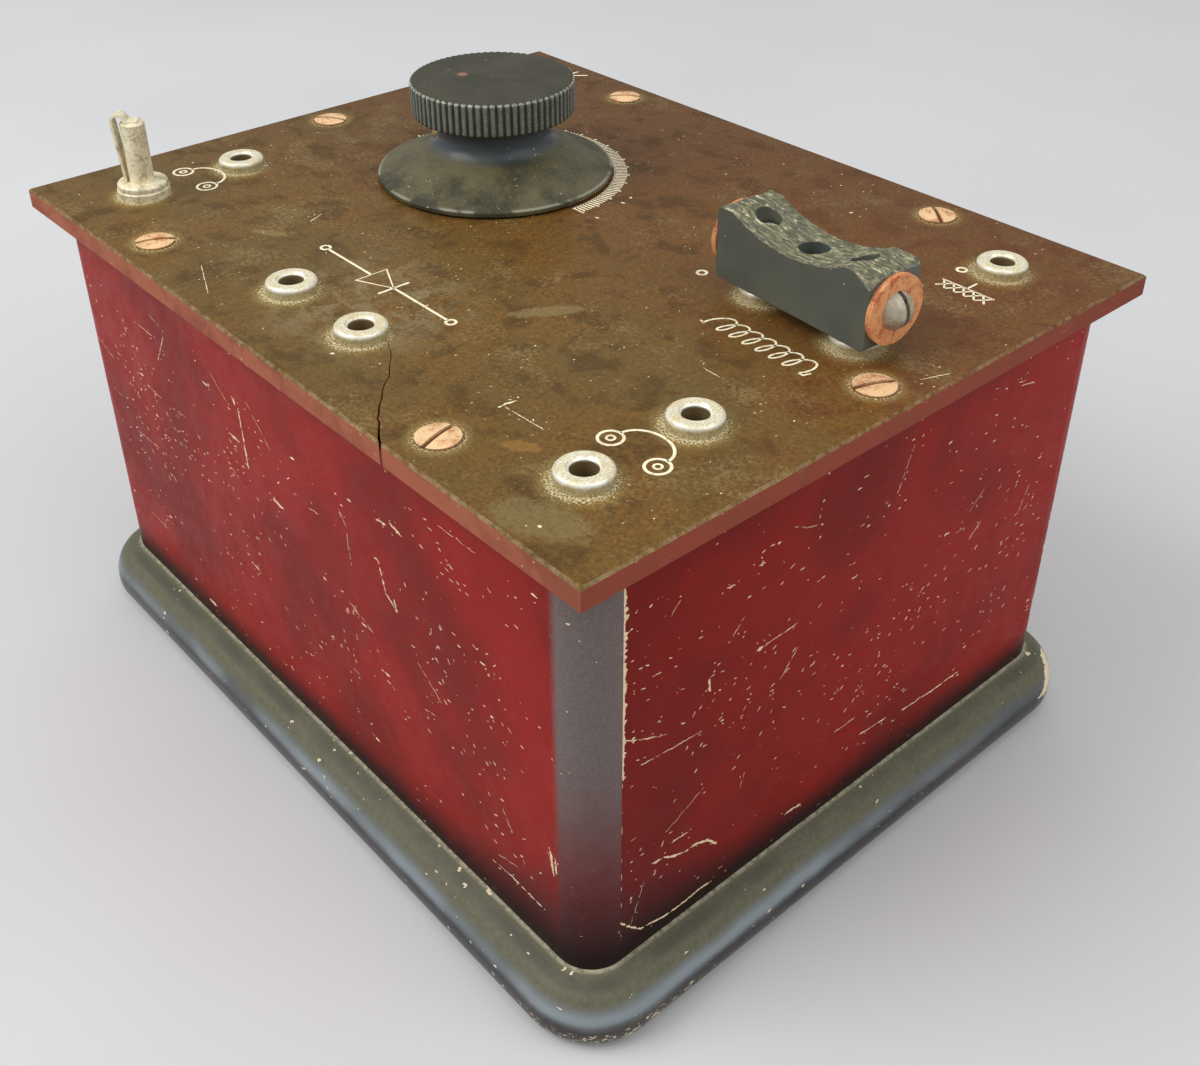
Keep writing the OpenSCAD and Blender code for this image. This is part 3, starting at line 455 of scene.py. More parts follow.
# Thin pieces let into a face: low and high are their under and upper sides, w in mm
class Marks:
    def __init__(self, lay, low=-0.1, high=0.02):
        self.lay = lay
        self.low = low
        self.high = high
        self.verts = []
        self.faces = []

    # Closed strip along a line of points, as wide as each point says
    def strip(self, points, widths, loop=False):
        start = len(self.verts)
        count = len(points)
        for i, point in enumerate(points):
            here = Vector(point)
            before = Vector(points[i - 1]) if i or loop else here
            after = Vector(points[(i + 1) % count]) if i + 1 < count or loop else here
            along = (after - before).normalized()
            side = Vector((-along.y, along.x)) * widths[i] / 2
            for edge, level in ((here + side, self.low), (here - side, self.low),
                                (here - side, self.high), (here + side, self.high)):
                self.verts.append(self.lay(edge.x, edge.y, level))
        for i in range(count if loop else count - 1):
            a = start + 4 * i
            b = start + 4 * ((i + 1) % count)
            for k in range(4):
                n = (k + 1) % 4
                self.faces.append((a + k, b + k, b + n, a + n))
        if not loop:
            end = start + 4 * (count - 1)
            self.faces.append((start + 3, start + 2, start + 1, start))
            self.faces.append((end, end + 1, end + 2, end + 3))

    def stroke(self, points, width, loop=False):
        self.strip(points, [width] * len(points), loop)

    def circle(self, center, radius, width, steps=28):
        points = []
        for i in range(steps):
            angle = 2 * math.pi * i / steps
            points.append((center[0] + radius * math.cos(angle),
                           center[1] + radius * math.sin(angle)))
        self.stroke(points, width, True)

    # Torn line: a path walked in short steps, uneven and broken, with flakes beside it
    def scratch(self, points, width, jitter=0.12, pitch=0.3, gaps=0.06, flakes=3):
        line = []
        for a, b in zip(points, points[1:]):
            a, b = Vector(a), Vector(b)
            steps = max(2, round((b - a).length / pitch))
            line += [a.lerp(b, i / steps) for i in range(steps)]
        line.append(Vector(points[-1]))
        for i, point in enumerate(line):
            line[i] = point + Vector((dice.uniform(-jitter, jitter), dice.uniform(-jitter, jitter)))
        run = []
        for i, point in enumerate(line):
            run.append(point)
            if i == len(line) - 1 or (dice.random() < gaps and len(run) > 3):
                if len(run) > 1:
                    widths = [width * min(1, 0.3 + min(k, len(run) - 1 - k) * 0.35)
                              * dice.uniform(0.35, 1.3) for k in range(len(run))]
                    self.strip(run, widths)
                run = []
        for _ in range(flakes):
            near = dice.choice(line)
            self.flake((near.x + dice.gauss(0, 0.9), near.y + dice.gauss(0, 0.9)),
                       dice.uniform(0.2, 0.7), dice.uniform(0.12, 0.3), dice.uniform(-1.5, 1.5))

    # Flake of paint gone: a small ragged patch
    def flake(self, center, length, width, lean=0.0):
        start = len(self.verts)
        corners = dice.randint(6, 9)
        for level in (self.low, self.high):
            for i in range(corners):
                angle = 2 * math.pi * i / corners
                grow = 0.45 + 0.55 * abs(math.sin(i * 2.3 + center[0] * 7))
                u = math.cos(angle) * length / 2 * grow
                v = math.sin(angle) * width / 2 * grow
                self.verts.append(self.lay(
                    center[0] + u * math.cos(lean) - v * math.sin(lean),
                    center[1] + u * math.sin(lean) + v * math.cos(lean), level))
        for i in range(corners):
            j = (i + 1) % corners
            self.faces.append((start + i, start + j, start + corners + j, start + corners + i))
        self.faces.append([start + i for i in reversed(range(corners))])
        self.faces.append([start + corners + i for i in range(corners)])

    def make(self, name, finish):
        obj = solid(name, self.verts, self.faces)
        return dressed(obj, finish, "case", False)


dice = random.Random(7)


# Red lacquer of the box walls, with a painted reflection on the rounded front corner and another
# above the base
wallPaint = {
    "red": (0.3, 0.011, 0.007),
    "dark": (0.18, 0.008, 0.006),
    "haze": (0.24, 0.028, 0.018),
    "sheen": (1.0, 0.42, 0.36),
    "gloss": 0.1,
    "cloudSize": 28,  # patches of each kind, in mm
    "mottleSize": 4,
    "grainSize": 0.45,
    "rightShade": (0.76, 1.03),  # brightness from the front to the back of the right board
    "rough": (0.34, 0.48),
    "wood": (0.95, 0.74, 0.5),
    "woodRough": 0.8,
    "flecks": [(2.2, 0.11, 0.13), (1.1, 0.11, 0.17), (0.55, 0.08, 0.24)],
    "baseReflection": (0.012, 0.01, 0.01),
    "baseReflectionHeight": 9.0,  # how far the painted dark reflection of the base reaches above it
    "baseReflectionCorner": 15.0,  # and how much further at the front corner
    "baseReflectionRagged": 4,
    "nearCorner": (96, 130),  # x - y over which that corner comes near
    "cornerReflection": (0.17, 0.14, 0.132),
    "cornerReflectionDark": (0.09, 0.075, 0.075),
    "cornerReflectionLow": (0.14, 0.014, 0.014),
    "cornerReflectionFrom": 68.2,  # x where the painted reflection on the rounded end of the front board starts
    "cornerReflectionFade": (24, 58),  # height over which the painted reflection turns from dark red to grey
    "cornerReflectionSoft": 0.9,
    "endRagged": 2.4,
    "fadeRagged": 14,
    "cornerReach": 100.66,  # |x| + |y| / 2 beyond which the upright corners are rubbed
}


def wallFinish():
    f = Finish("case_paint")
    x, y, z = f.axes()
    paint = wallPaint
    cloud = f.noise(paint["cloudSize"], 3)
    mottle = f.noise(paint["mottleSize"], 5, 0.65)
    grain = f.noise(paint["grainSize"], 3)
    color = f.mix(f.step(cloud, 0.38, 0.66), paint["red"], paint["dark"])
    color = f.mix(f.mul(f.step(mottle, 0.5, 0.72), 0.5), color, paint["haze"])
    color = f.mix(f.step(grain, 0.3, 0.7, 0.0, 0.35), color, paint["dark"])

    # Painted reflection on the rounded front corner, where the front board ends: dark red low down,
    # grey higher up
    ahead = f.ragged(x, grain, paint["endRagged"])
    onFrontBoard = f.math("LESS_THAN", y, seamY)
    start, soft = paint["cornerReflectionFrom"], paint["cornerReflectionSoft"]
    atEnd = f.step(ahead, start - soft, start + soft)
    cornerReflection = f.mul(atEnd, onFrontBoard)
    along = f.top(f.step(y, seamY, -seamY, *paint["rightShade"]), onFrontBoard)
    color = f.mix(1.0, color, along, "MULTIPLY")
    height = f.ragged(z, mottle, paint["fadeRagged"])
    shade = f.mix(f.step(height, *paint["cornerReflectionFade"]), paint["cornerReflectionLow"], paint["cornerReflection"])
    shade = f.mix(f.step(grain, 0.3, 0.7, 0.0, 0.4), shade, paint["cornerReflectionDark"])
    color = f.mix(cornerReflection, color, shade)

    flat = f.warped(0.5, 0.8, f.moved(scale=(0.4, 0.4, 1.1)))
    patchy = f.step(f.noise(12, 5, 0.65), 0.43, 0.64, 0.12, 1.2)
    dense = f.mul(patchy, f.sub(1.1, f.mul(cornerReflection, 0.4)))
    speck = f.manyFlecks(paint["flecks"], flat, dense)
    reach = f.add(f.size(x), f.mul(f.size(y), 0.5))
    reach = f.ragged(reach, f.noise(0.9, 5, 0.7), 0.3)
    rubbed = f.step(reach, paint["cornerReach"], paint["cornerReach"] + 0.04)
    rubbed = f.mul(rubbed, f.sub(1.0, cornerReflection))
    speck = f.top(speck, f.mul(rubbed, f.step(f.noise(2.2, 4, 0.7), 0.56, 0.6)))
    color = f.mix(f.mul(speck, 0.9), color, paint["wood"])
    # Painted reflection of the black base board: a dark band along the foot of the walls, taller
    # near the front corner
    lowEdge = f.ragged(z, mottle, paint["baseReflectionRagged"])
    atCorner = f.step(f.sub(x, y), *paint["nearCorner"])
    baseReflectionTop = f.add(f.mul(atCorner, paint["baseReflectionCorner"]), baseTop + paint["baseReflectionHeight"])
    baseReflection = f.step(lowEdge, baseTop, baseReflectionTop, 0.97, 0.0)
    color = f.mix(f.mul(baseReflection, f.sub(1.0, f.mul(speck, 0.5))), color, paint["baseReflection"])
    f.bump(f.sub(f.mul(grain, 0.5), f.mul(speck, 0.6)), strength=0.3, depth=0.08)
    rough = f.blend(speck, f.step(mottle, 0.35, 0.7, *paint["rough"]), paint["woodRough"])
    return f.set(color=color, rough=rough, gloss=paint["gloss"], glossColor=paint["sheen"])


# Black lacquer of the base board, dusty where it faces up
basePaint = {
    "black": (0.016, 0.015, 0.015),
    "brown": (0.04, 0.028, 0.022),
    "sheen": (0.25, 0.29, 0.31),
    "dust": (0.125, 0.12, 0.068),
    "dustDark": (0.07, 0.066, 0.042),
    "line": (0.5, 0.46, 0.32),
    "gloss": 0.4,
    "rough": (0.24, 0.6),  # bare lacquer, and dust or wood
    "cloudSize": 14,
    "fineSize": 0.9,
    "wood": (0.82, 0.68, 0.45),
    "flecks": [(2.4, 0.2, 0.15), (0.9, 0.2, 0.21)],
    "corner": (68, 51),  # middle of a corner arc
    "wallRound": 6.5,
    "dustRidge": 2.2,  # from the wall to the band where the dust is darker
    "crescentAngle": 0.45,  # lacquer gone round the right rear corner, radians
    "crescentRise": (5.6, 9.6),
    "crescentWidth": 1.7,
    "crescentRagged": 2.2,
    "nearCorner": (100, 128),  # x - y over which the chipped front corner comes near
    "chipped": (1.2, 2.4, 3.6, 5.6),  # heights where its chips start, are thickest, and end
}


def baseFinish():
    f = Finish("base_lacquer")
    x, y, z = f.axes()
    paint = basePaint
    up = f.axes(f.facing)[2]
    cloud = f.noise(paint["cloudSize"], 4)
    fine = f.noise(paint["fineSize"], 4, 0.7)
    color = f.mix(f.step(cloud, 0.4, 0.7), paint["black"], paint["brown"])
    slope = f.ragged(up, cloud, 0.25)
    beyond = [f.top(f.sub(f.size(a), edge), 0.0) for a, edge in zip((x, y), paint["corner"])]
    squares = [f.mul(a, a) for a in beyond]
    gap = f.sub(f.math("SQRT", f.add(*squares)), paint["wallRound"])
    ridge = f.fade(f.size(f.sub(gap, paint["dustRidge"])), 0.3, 1.4)
    dust = f.mix(f.mul(ridge, f.step(cloud, 0.3, 0.6)), paint["dust"], paint["dustDark"])
    dust = f.mix(f.step(fine, 0.35, 0.7, 0.0, 0.6), dust, paint["dustDark"])
    dusty = f.step(slope, 0.3, 0.66)
    color = f.mix(dusty, color, dust)
    sheen = f.mul(f.step(slope, 0.06, 0.32), f.fade(slope, 0.36, 0.68))
    patchy = f.step(f.noise(30, 2), 0.35, 0.62, 0.25, 0.9)
    color = f.mix(f.mul(sheen, patchy), color, paint["sheen"])
    line = f.mul(f.fade(gap, 0.25, 0.9), f.step(fine, 0.35, 0.6, 0.2, 1.0))
    color = f.mix(f.mul(line, 0.75), color, paint["line"])

    flat = f.warped(0.5, 0.8, f.moved(scale=(0.6, 0.6, 1)))
    dense = f.step(f.noise(18, 3), 0.4, 0.62, 0.45, 1.25)
    speck = f.manyFlecks(paint["flecks"], flat, dense)
    angle = f.math("ARCTAN2", f.sub(y, paint["corner"][1]), f.sub(x, paint["corner"][0]))
    middle = f.step(angle, 0.0, 2 * paint["crescentAngle"], *paint["crescentRise"])
    turn = f.size(f.sub(angle, paint["crescentAngle"]))
    wide = f.step(turn, 0.1, 0.5, paint["crescentWidth"], 0.0)
    off = f.ragged(f.size(f.sub(z, middle)), fine, paint["crescentRagged"])
    gone = f.mul(f.math("LESS_THAN", off, wide), f.math("GREATER_THAN", wide, 0.05))
    speck = f.top(speck, gone)
    low, full, fewer, high = paint["chipped"]
    lowBand = f.mul(f.step(z, low, full), f.fade(z, fewer, high))
    frontCorner = f.step(f.sub(x, y), *paint["nearCorner"])
    uneven = f.add(f.noise(0.8, 4, 0.7, flat), f.mul(cloud, 0.3))
    chips = f.mul(f.math("GREATER_THAN", uneven, 0.76), lowBand)
    speck = f.top(speck, f.math("GREATER_THAN", f.mul(chips, frontCorner), 0.5))
    color = f.mix(f.mul(speck, 0.9), color, paint["wood"])
    f.bump(f.add(f.mul(f.noise(0.4, 3), 0.5), f.mul(speck, -0.5)), strength=0.3, depth=0.08)
    rough = f.blend(f.top(dusty, speck), *paint["rough"])
    return f.set(color=color, rough=rough, gloss=paint["gloss"])


# Brown hard rubber panel
panelPaint = {
    "brown": (0.2, 0.101, 0.022),
    "olive": (0.165, 0.1, 0.027),
    "orange": (0.2, 0.082, 0.019),
    "dark": (0.075, 0.042, 0.014),
    "haze": (0.30, 0.21, 0.085),
    "rust": (0.21, 0.06, 0.022),
    "dust": (0.29, 0.235, 0.12),
    "dustyAt": (2, -39),  # by the detector sockets
    "dustyReach": (6, 24),
    "edge": (0.38, 0.115, 0.062),
    "edgeDark": (0.25, 0.065, 0.035),
    # painted shade: colour of the edge faces that look right
    "edgeShadedRight": (0.3, 0.062, 0.036),
    "edgePale": (0.5, 0.26, 0.16),
    "edgeFleck": (0.8, 0.58, 0.42),
    "bevel": (0.5, 0.37, 0.21),
    "bright": (0.82, 0.7, 0.44),
    "ring": (0.44, 0.33, 0.12),  # dirt round the sockets and screws
    "sheen": (1.0, 0.8, 0.5),
    "gloss": 0.14,
    "rough": (0.3, 0.44),
    "dirtRough": 0.6,
    "cloudSize": 30,
    "blotSize": 7,
    "fineSize": 0.7,
    "streakSize": 1.6,
    "gritSize": 0.35,
    "shade": (0.66, 0.9),  # brightness from the back to the front
    "flecks": [(1.7, 0.12, 0.12), (0.9, 0.12, 0.17), (0.5, 0.12, 0.22)],
    "stains": [  # center, angle, length, width, color
        ((-31.3, -37.6), 30, 7.5, 2.2, (0.29, 0.22, 0.085)),
        ((50.0, -47.3), 35, 5.8, 2.8, (0.34, 0.165, 0.04)),
        ((64.5, -55.8), 20, 15, 8, (0.24, 0.18, 0.075)),
        ((22.8, -20.5), 60, 13, 3.5, (0.27, 0.2, 0.085)),
    ],
    "halo": (4.1, 7.2),  # radii between which that dirt fades, round a socket
    "screwHalo": (3.3, 5.6),
}
screwPlaces = [(41, -54.25), (-41, -54.25), (41, 54.25), (-41, 54.25), (71.25, 0), (-71.25, 0)]


def panelFinish():
    f = Finish("panel_board")
    paint = panelPaint
    x, y = f.axes()[:2]
    up = f.axes(f.facing)[2]
    cloud = f.noise(paint["cloudSize"], 4, 0.6)
    blot = f.noise(paint["blotSize"], 5, 0.6, bend=0.4)
    fine = f.noise(paint["fineSize"], 4, 0.7)
    alongStreaks = f.moved(scale=(1, 0.3, 1), turn=(0, 0, 20))
    streak = f.noise(paint["streakSize"], 5, 0.7, alongStreaks)
    color = f.mix(f.step(cloud, 0.36, 0.64), paint["olive"], paint["brown"])
    color = f.mix(f.step(f.ragged(y, blot, 60), -30, 30), color, paint["orange"])
    color = f.mix(f.mul(f.step(blot, 0.49, 0.64), 0.62), color, paint["dark"])
    color = f.mix(f.mul(f.step(streak, 0.5, 0.7), 0.35), color, paint["dark"])
    rusty = f.mul(f.step(f.add(f.mul(f.add(x, y), 0.02), f.mul(cloud, 2.0)), 1.4, 2.8),
                  f.step(blot, 0.4, 0.6))
    color = f.mix(f.mul(rusty, 0.5), color, paint["rust"])
    hazy = f.step(f.mul(f.noise(12, 5, 0.7), f.add(fine, 0.5)), 0.54, 0.72)
    color = f.mix(f.mul(hazy, 0.5), color, paint["haze"])
    color = f.mix(f.step(fine, 0.35, 0.65, 0.4, 0.0), color, paint["dark"])
    coarse = f.mul(f.sub(f.noise(0.6, 4, 0.8), 0.5), f.step(cloud, 0.35, 0.65, 0.9, 2.0))
    color = f.mix(1.0, color, f.add(coarse, 1.0), "MULTIPLY")
    dusty = f.fade(f.distance((*paint["dustyAt"], panelTop)), *paint["dustyReach"])
    dusty = f.mul(dusty, f.step(f.noise(5, 5, 0.75), 0.42, 0.62))
    color = f.mix(f.mul(dusty, f.step(fine, 0.3, 0.6, 0.2, 0.75)), color, paint["dust"])
    for center, angle, length, width, stain in paint["stains"]:
        share = f.mul(f.patch(center, angle, length, width), f.step(fine, 0.3, 0.6, 0.3, 0.65))
        color = f.mix(share, color, stain)
    halo = 0.0
    for name in sockets + ["contact_pin"]:
        middle = middleOf(name)
        away = f.distance((middle.x, middle.y - 0.4, panelTop))
        halo = f.top(halo, f.fade(away, *paint["halo"]))
    for spot in screwPlaces:
        away = f.distance((*spot, panelTop))
        halo = f.top(halo, f.step(away, *paint["screwHalo"], 0.8, 0.0))
    grit = f.noise(paint["gritSize"], 3, 0.8)
    dirty = f.mul(halo, f.add(f.mul(f.step(grit, 0.4, 0.6), 0.6), 0.2))
    color = f.mix(dirty, color, paint["ring"])
    pale = f.mul(f.step(f.add(f.mul(halo, 0.35), grit), 0.8, 0.86), f.step(halo, 0.1, 0.6))
    color = f.mix(f.mul(pale, 0.8), color, paint["bright"])

    long = f.warped(0.4, 0.5, f.moved(scale=(1, 0.5, 1), turn=(0, 0, 35)))
    dense = f.step(f.noise(13, 3), 0.42, 0.68, 0.35, 1.15)
    speck = f.manyFlecks(paint["flecks"], long, dense)
    color = f.mix(f.mul(speck, 0.8), color, paint["bright"])

    side = f.fade(f.size(up), 0.3, 0.6)
    # Painted shade: the panel's edge faces that look right are darker
    toRight = f.step(f.axes(f.facing)[0], 0.3, 0.7)
    sideColor = f.mix(toRight, paint["edge"], paint["edgeShadedRight"])
    sideColor = f.mix(f.step(blot, 0.4, 0.65, 0.0, 0.8), sideColor, paint["edgeDark"])
    sideColor = f.mix(f.mul(f.step(streak, 0.62, 0.72), 0.5), sideColor, paint["edgePale"])
    sideFleck = f.flecks(0.7, 0.22, 0.2, f.warped(0.4, 0.5, f.moved(scale=(0.6, 0.6, 1))))
    sideFleck = f.mul(sideFleck, f.step(cloud, 0.4, 0.6, 0.2, 0.8))
    sideColor = f.mix(sideFleck, sideColor, paint["edgeFleck"])
    color = f.mix(side, color, sideColor)
    # Painted highlight: a pale broken line on the bevelled top edge
    sloping = f.fade(f.size(f.sub(up, 0.7)), 0.0, 0.2)
    bevel = f.mul(sloping, f.step(f.noise(1.6, 5, 0.8), 0.36, 0.66))
    color = f.mix(f.mul(bevel, 0.45), color, paint["bevel"])
    raised = f.add(f.mul(fine, 0.4), f.mul(speck, 0.4))
    f.bump(f.add(raised, f.mul(halo, f.mul(grit, 0.8))), strength=0.4, depth=0.07)
    rough = f.step(blot, 0.4, 0.7, *paint["rough"])
    rough = f.blend(f.top(halo, side), rough, paint["dirtRough"])
    shade = f.step(f.sub(f.mul(x, 0.4), y), -70, 30, *paint["shade"])
    color = f.mix(1.0, color, shade, "MULTIPLY")
    return f.set(color=color, rough=rough, gloss=paint["gloss"], glossColor=paint["sheen"])


# Crack through the panel, from a detector socket to the front edge
crack = {
    "line": [(11.6, -43.6), (14.6, -44.4), (17.7, -45.8), (22.4, -49.4), (26.3, -53.4),
             (30.4, -56.8), (34.8, -59.5), (37.3, -61.2), (38.0, -63.0)],
    "widths": [0.1, 0.12, 0.14, 0.16, 0.2, 0.26, 0.34, 0.45, 0.5],
    "parts": 4,  # short pieces between two points
    "drift": 0.16,
    "span": (-6, 1),  # below and above the panel's top
}


def crackTool():
    points = [Vector(p) for p in crack["line"]]
    low, high = [], []
    for i, (a, b) in enumerate(zip(points, points[1:])):
        for k in range(crack["parts"]):
            t = k / crack["parts"]
            here = a.lerp(b, t)
            along = (b - a).normalized()
            side = Vector((-along.y, along.x))
            wide = crack["widths"][i] * (1 - t) + crack["widths"][i + 1] * t
            drift = dice.uniform(-crack["drift"], crack["drift"])
            low.append(here + side * (drift - wide / 2))
            high.append(here + side * (drift + wide / 2))
    outline = low + high[::-1]
    count = len(outline)
    verts = [(p.x, p.y, panelTop + level) for level in crack["span"] for p in outline]
    faces = [[i, (i + 1) % count, count + (i + 1) % count, count + i] for i in range(count)]
    half = count // 2
    for i in range(half - 1):
        j = count - 1 - i
        faces.append([i, j, j - 1, i + 1])
        faces.append([count + i, count + i + 1, count + j - 1, count + j])
    return solid("crack_tool", verts, faces)


def makePanel():
    panel = welded("panel", "cracked_panel")
    tool = crackTool()
    shape = bmesh.new()
    shape.from_mesh(tool.data)
    bmesh.ops.recalc_face_normals(shape, faces=shape.faces)
    shape.to_mesh(tool.data)
    shape.free()
    cut(panel, tool)
    dressed(panel, panelFinish(), "case", False)
    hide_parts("panel")


makePanel()
print("panel made")


# Engraved and paint-filled marks on the panel
engraving = {
    "width": 0.46,
    "tickWidth": 0.38,
    "arcWidth": 0.3,
    "arcSteps": 60,
    "scaleIn": 22.5,
    "scaleMid": 24.8,
    "scaleOut": 25.3,
    "divisions": 100,
    "paint": (0.95, 0.87, 0.62),
    "wornPaint": (0.6, 0.5, 0.3),
    "detector": (-2, -33.6),  # where each sign stands
    "phones": [(61.0, -35.8), (-61.6, -34.6)],
    "coil": ((42.4, -2.6), (61.8, -3.2)),
    "earth": (61.6, 33.6),
    "aerial": (-60.4, 53.8),
    "rings": [(29.3, 7.3), (56.9, 39.9)],
    "coilTurns": 7,
    "coilSteps": 24,  # points to a turn
    "coilLoop": (1.15, 2.1),  # half width and half height of a turn
    "coilLean": 0.25,
    "band": (4.6, 3.6, 0.6),  # the headphones' band: half width, rise, and height of its ends
    "bandSteps": 20,
    "cupDrop": 1.2,
    "cups": [(1.8, 1.0, 28), (0.6, 0.8, 12)],  # radius, share of the width, points
}


def creamFinish(name):
    f = Finish(name)
    tone = f.noise(0.8, 4)
    color = f.mix(f.step(tone, 0.4, 0.75), engraving["paint"], engraving["wornPaint"])
    f.bump(f.noise(0.3, 2), strength=0.3, depth=0.03)
    return f.set(color=color, rough=f.step(tone, 0.3, 0.7, 0.6, 0.75))


def dialScale(marks):
    cx, cy = knobAxis.x, knobAxis.y

    def at(angle, radius):
        return (cx + radius * math.cos(angle), cy + radius * math.sin(angle))

    count = engraving["divisions"]
    steps = engraving["arcSteps"]
    marks.stroke([at(math.pi * i / steps, engraving["scaleIn"]) for i in range(steps + 1)],
                 engraving["arcWidth"])
    for i in range(count + 1):
        angle = math.pi * i / count
        reach = engraving["scaleOut"] if i % 5 == 0 else engraving["scaleMid"]
        marks.stroke([at(angle, engraving["scaleIn"] - 0.1), at(angle, reach)],
                     engraving["tickWidth"])


def headphoneSign(marks, center):
    x, y = center
    w = engraving["width"]
    half, rise, foot = engraving["band"]
    steps = engraving["bandSteps"]
    band = []
    for i in range(steps + 1):
        angle = math.pi * i / steps
        band.append((x + half * math.cos(angle), y + foot + rise * math.sin(angle)))
    marks.stroke(band, w)
    for side in (-1, 1):
        for radius, share, points in engraving["cups"]:
            cup = (x + side * half, y - engraving["cupDrop"])
            marks.circle(cup, radius, w * share, points)


def detectorSign(marks, center):
    x, y = center
    w = engraving["width"]
    marks.stroke([(x - 17, y), (x - 4, y)], w)
    marks.stroke([(x - 4, y - 3), (x - 4, y + 3), (x + 2.4, y)], w, True)
    marks.stroke([(x + 2.4, y - 3), (x + 2.4, y + 3)], w)
    marks.stroke([(x + 2.4, y), (x + 17, y)], w)
    for side in (-1, 1):
        marks.circle((x + side * 17.8, y), 0.8, w)


def coilSign(marks, start, end):
    a, b = Vector(start), Vector(end)
    turns = engraving["coilTurns"]
    steps = turns * engraving["coilSteps"]
    wide, tall = engraving["coilLoop"]
    points = []
    for i in range(steps + 1):
        t = i / steps
        angle = 2 * math.pi * turns * t
        middle = a.lerp(b, t)
        across = -tall * math.cos(angle)
        lean = engraving["coilLean"] * across
        points.append((middle.x - wide * math.sin(angle) + lean, middle.y + across))
    first, last = points[0], points[-1]
    leadIn = [(first[0] - 1.2, first[1] + 0.3)]
    leadOut = [(last[0] + 1.2, last[1]), (last[0] + 1.6, last[1] + 1.3)]
    marks.stroke(leadIn + points + leadOut, engraving["width"] * 0.8)


def earthSign(marks, center):
    x, y = center
    w = engraving["width"] * 0.75
    for i in range(5):
        marks.stroke([(x - 4.4 + i * 1.9, y - 1.2), (x - 2.6 + i * 1.9, y + 1.2)], w)
        marks.stroke([(x - 2.6 + i * 1.9, y - 1.2), (x - 4.4 + i * 1.9, y + 1.2)], w)
    marks.stroke([(x - 4.8, y + 1.3), (x + 5.2, y + 1.3)], w)
    marks.stroke([(x, y + 1.3), (x, y + 4.0)], w)


def aerialSign(marks, center):
    x, y = center
    w = engraving["width"]
    marks.stroke([(x, y - 4), (x, y + 4)], w)
    for side in (-1, 1):
        marks.stroke([(x, y), (x + side * 3.2, y + 4)], w)


def makeMarks():
    marks = Marks(onPanel)
    dialScale(marks)
    detectorSign(marks, engraving["detector"])
    for spot in engraving["phones"]:
        headphoneSign(marks, spot)
    coilSign(marks, *engraving["coil"])
    earthSign(marks, engraving["earth"])
    aerialSign(marks, engraving["aerial"])
    for spot in engraving["rings"]:
        marks.circle(spot, 0.8, 0.5, 16)
    marks.make("panel_marks", creamFinish("mark_paint"))


makeMarks()
print("marks made")


# Scratches through the paint, down to pale wood
bareWood = {"pale": (0.86, 0.7, 0.46), "dark": (0.62, 0.42, 0.24)}


def woodFinish():
    f = Finish("bare_wood")
    grain = f.noise(0.8, 5, 0.6, f.moved(scale=(0.3, 0.3, 2)))
    color = f.mix(f.step(grain, 0.35, 0.7), bareWood["pale"], bareWood["dark"])
    f.bump(grain, strength=0.4, depth=0.05)
    return f.set(color=color, rough=f.step(grain, 0.3, 0.7, 0.7, 0.85))


frontScratches = [  # points (x, z) and width
    ([(-12.2, 72.4), (-11.9, 66.4), (-11.8, 60.2)], 0.42),
    ([(-16.9, 65.3), (-13.8, 64.9)], 0.5),
    ([(-13.8, 73.9), (-13.0, 72.5)], 0.5),
    ([(-24.2, 72.2), (-22.0, 72.0)], 0.45),
    ([(-37.3, 75.3), (-41.5, 68.8)], 0.16),
    ([(-4.4, 58.4), (-1.0, 57.9)], 0.6),
    ([(28.0, 71.9), (30.6, 72.3)], 0.5),
    ([(31.7, 73.2), (34.6, 72.4)], 0.5),
    ([(27.3, 64.1), (28.6, 58.2), (31.6, 56.6)], 0.4),
    ([(30.8, 58.6), (31.2, 56.2)], 0.4),
    ([(-16.8, 37.9), (-13.9, 37.7)], 0.4),
    ([(-38.9, 15.7), (-35.6, 15.9)], 0.6),
    ([(56.0, 20.3), (64.9, 20.0)], 0.3),
    ([(66.6, 34.4), (67.2, 29.6)], 0.5),
    ([(67.6, 33.6), (67.9, 30.4)], 0.35),
]
rightScratches = [  # points (y, z) and width
    ([(-51.0, 20.6), (-49.7, 18.8), (-47.0, 15.9), (-41.4, 14.5), (-38.5, 14.4), (-34.0, 14.7),
      (-31.6, 14.4)], 0.42),
    ([(-44.9, 28.6), (-42.9, 28.4), (-40.6, 27.0), (-37.8, 26.0), (-35.6, 26.0), (-33.3, 25.0),
      (-31.0, 22.6)], 0.5),
    ([(-40.9, 30.2), (-36.9, 30.1)], 0.2),
    ([(-25.0, 58.3), (-23.6, 58.2)], 0.6),
    ([(-23.4, 58.2), (-16.3, 58.6)], 0.16),
    ([(-34.6, 58.9), (-34.4, 56.1)], 0.5),
    ([(-50.7, 57.4), (-46.8, 55.2), (-42.6, 53.4)], 0.2),
    ([(-47.7, 50.8), (-42.0, 50.0), (-35.6, 49.5)], 0.14),
    ([(-32.0, 73.5), (-30.6, 73.3)], 0.5),
    ([(-25.8, 74.0), (-24.6, 74.1)], 0.5),
    ([(-14.6, 17.3), (-11.0, 16.9)], 0.5),
    ([(14.3, 21.6), (22.5, 20.9), (30.6, 20.7)], 0.3),
    ([(2.8, 23.4), (10.0, 22.7)], 0.3),
]
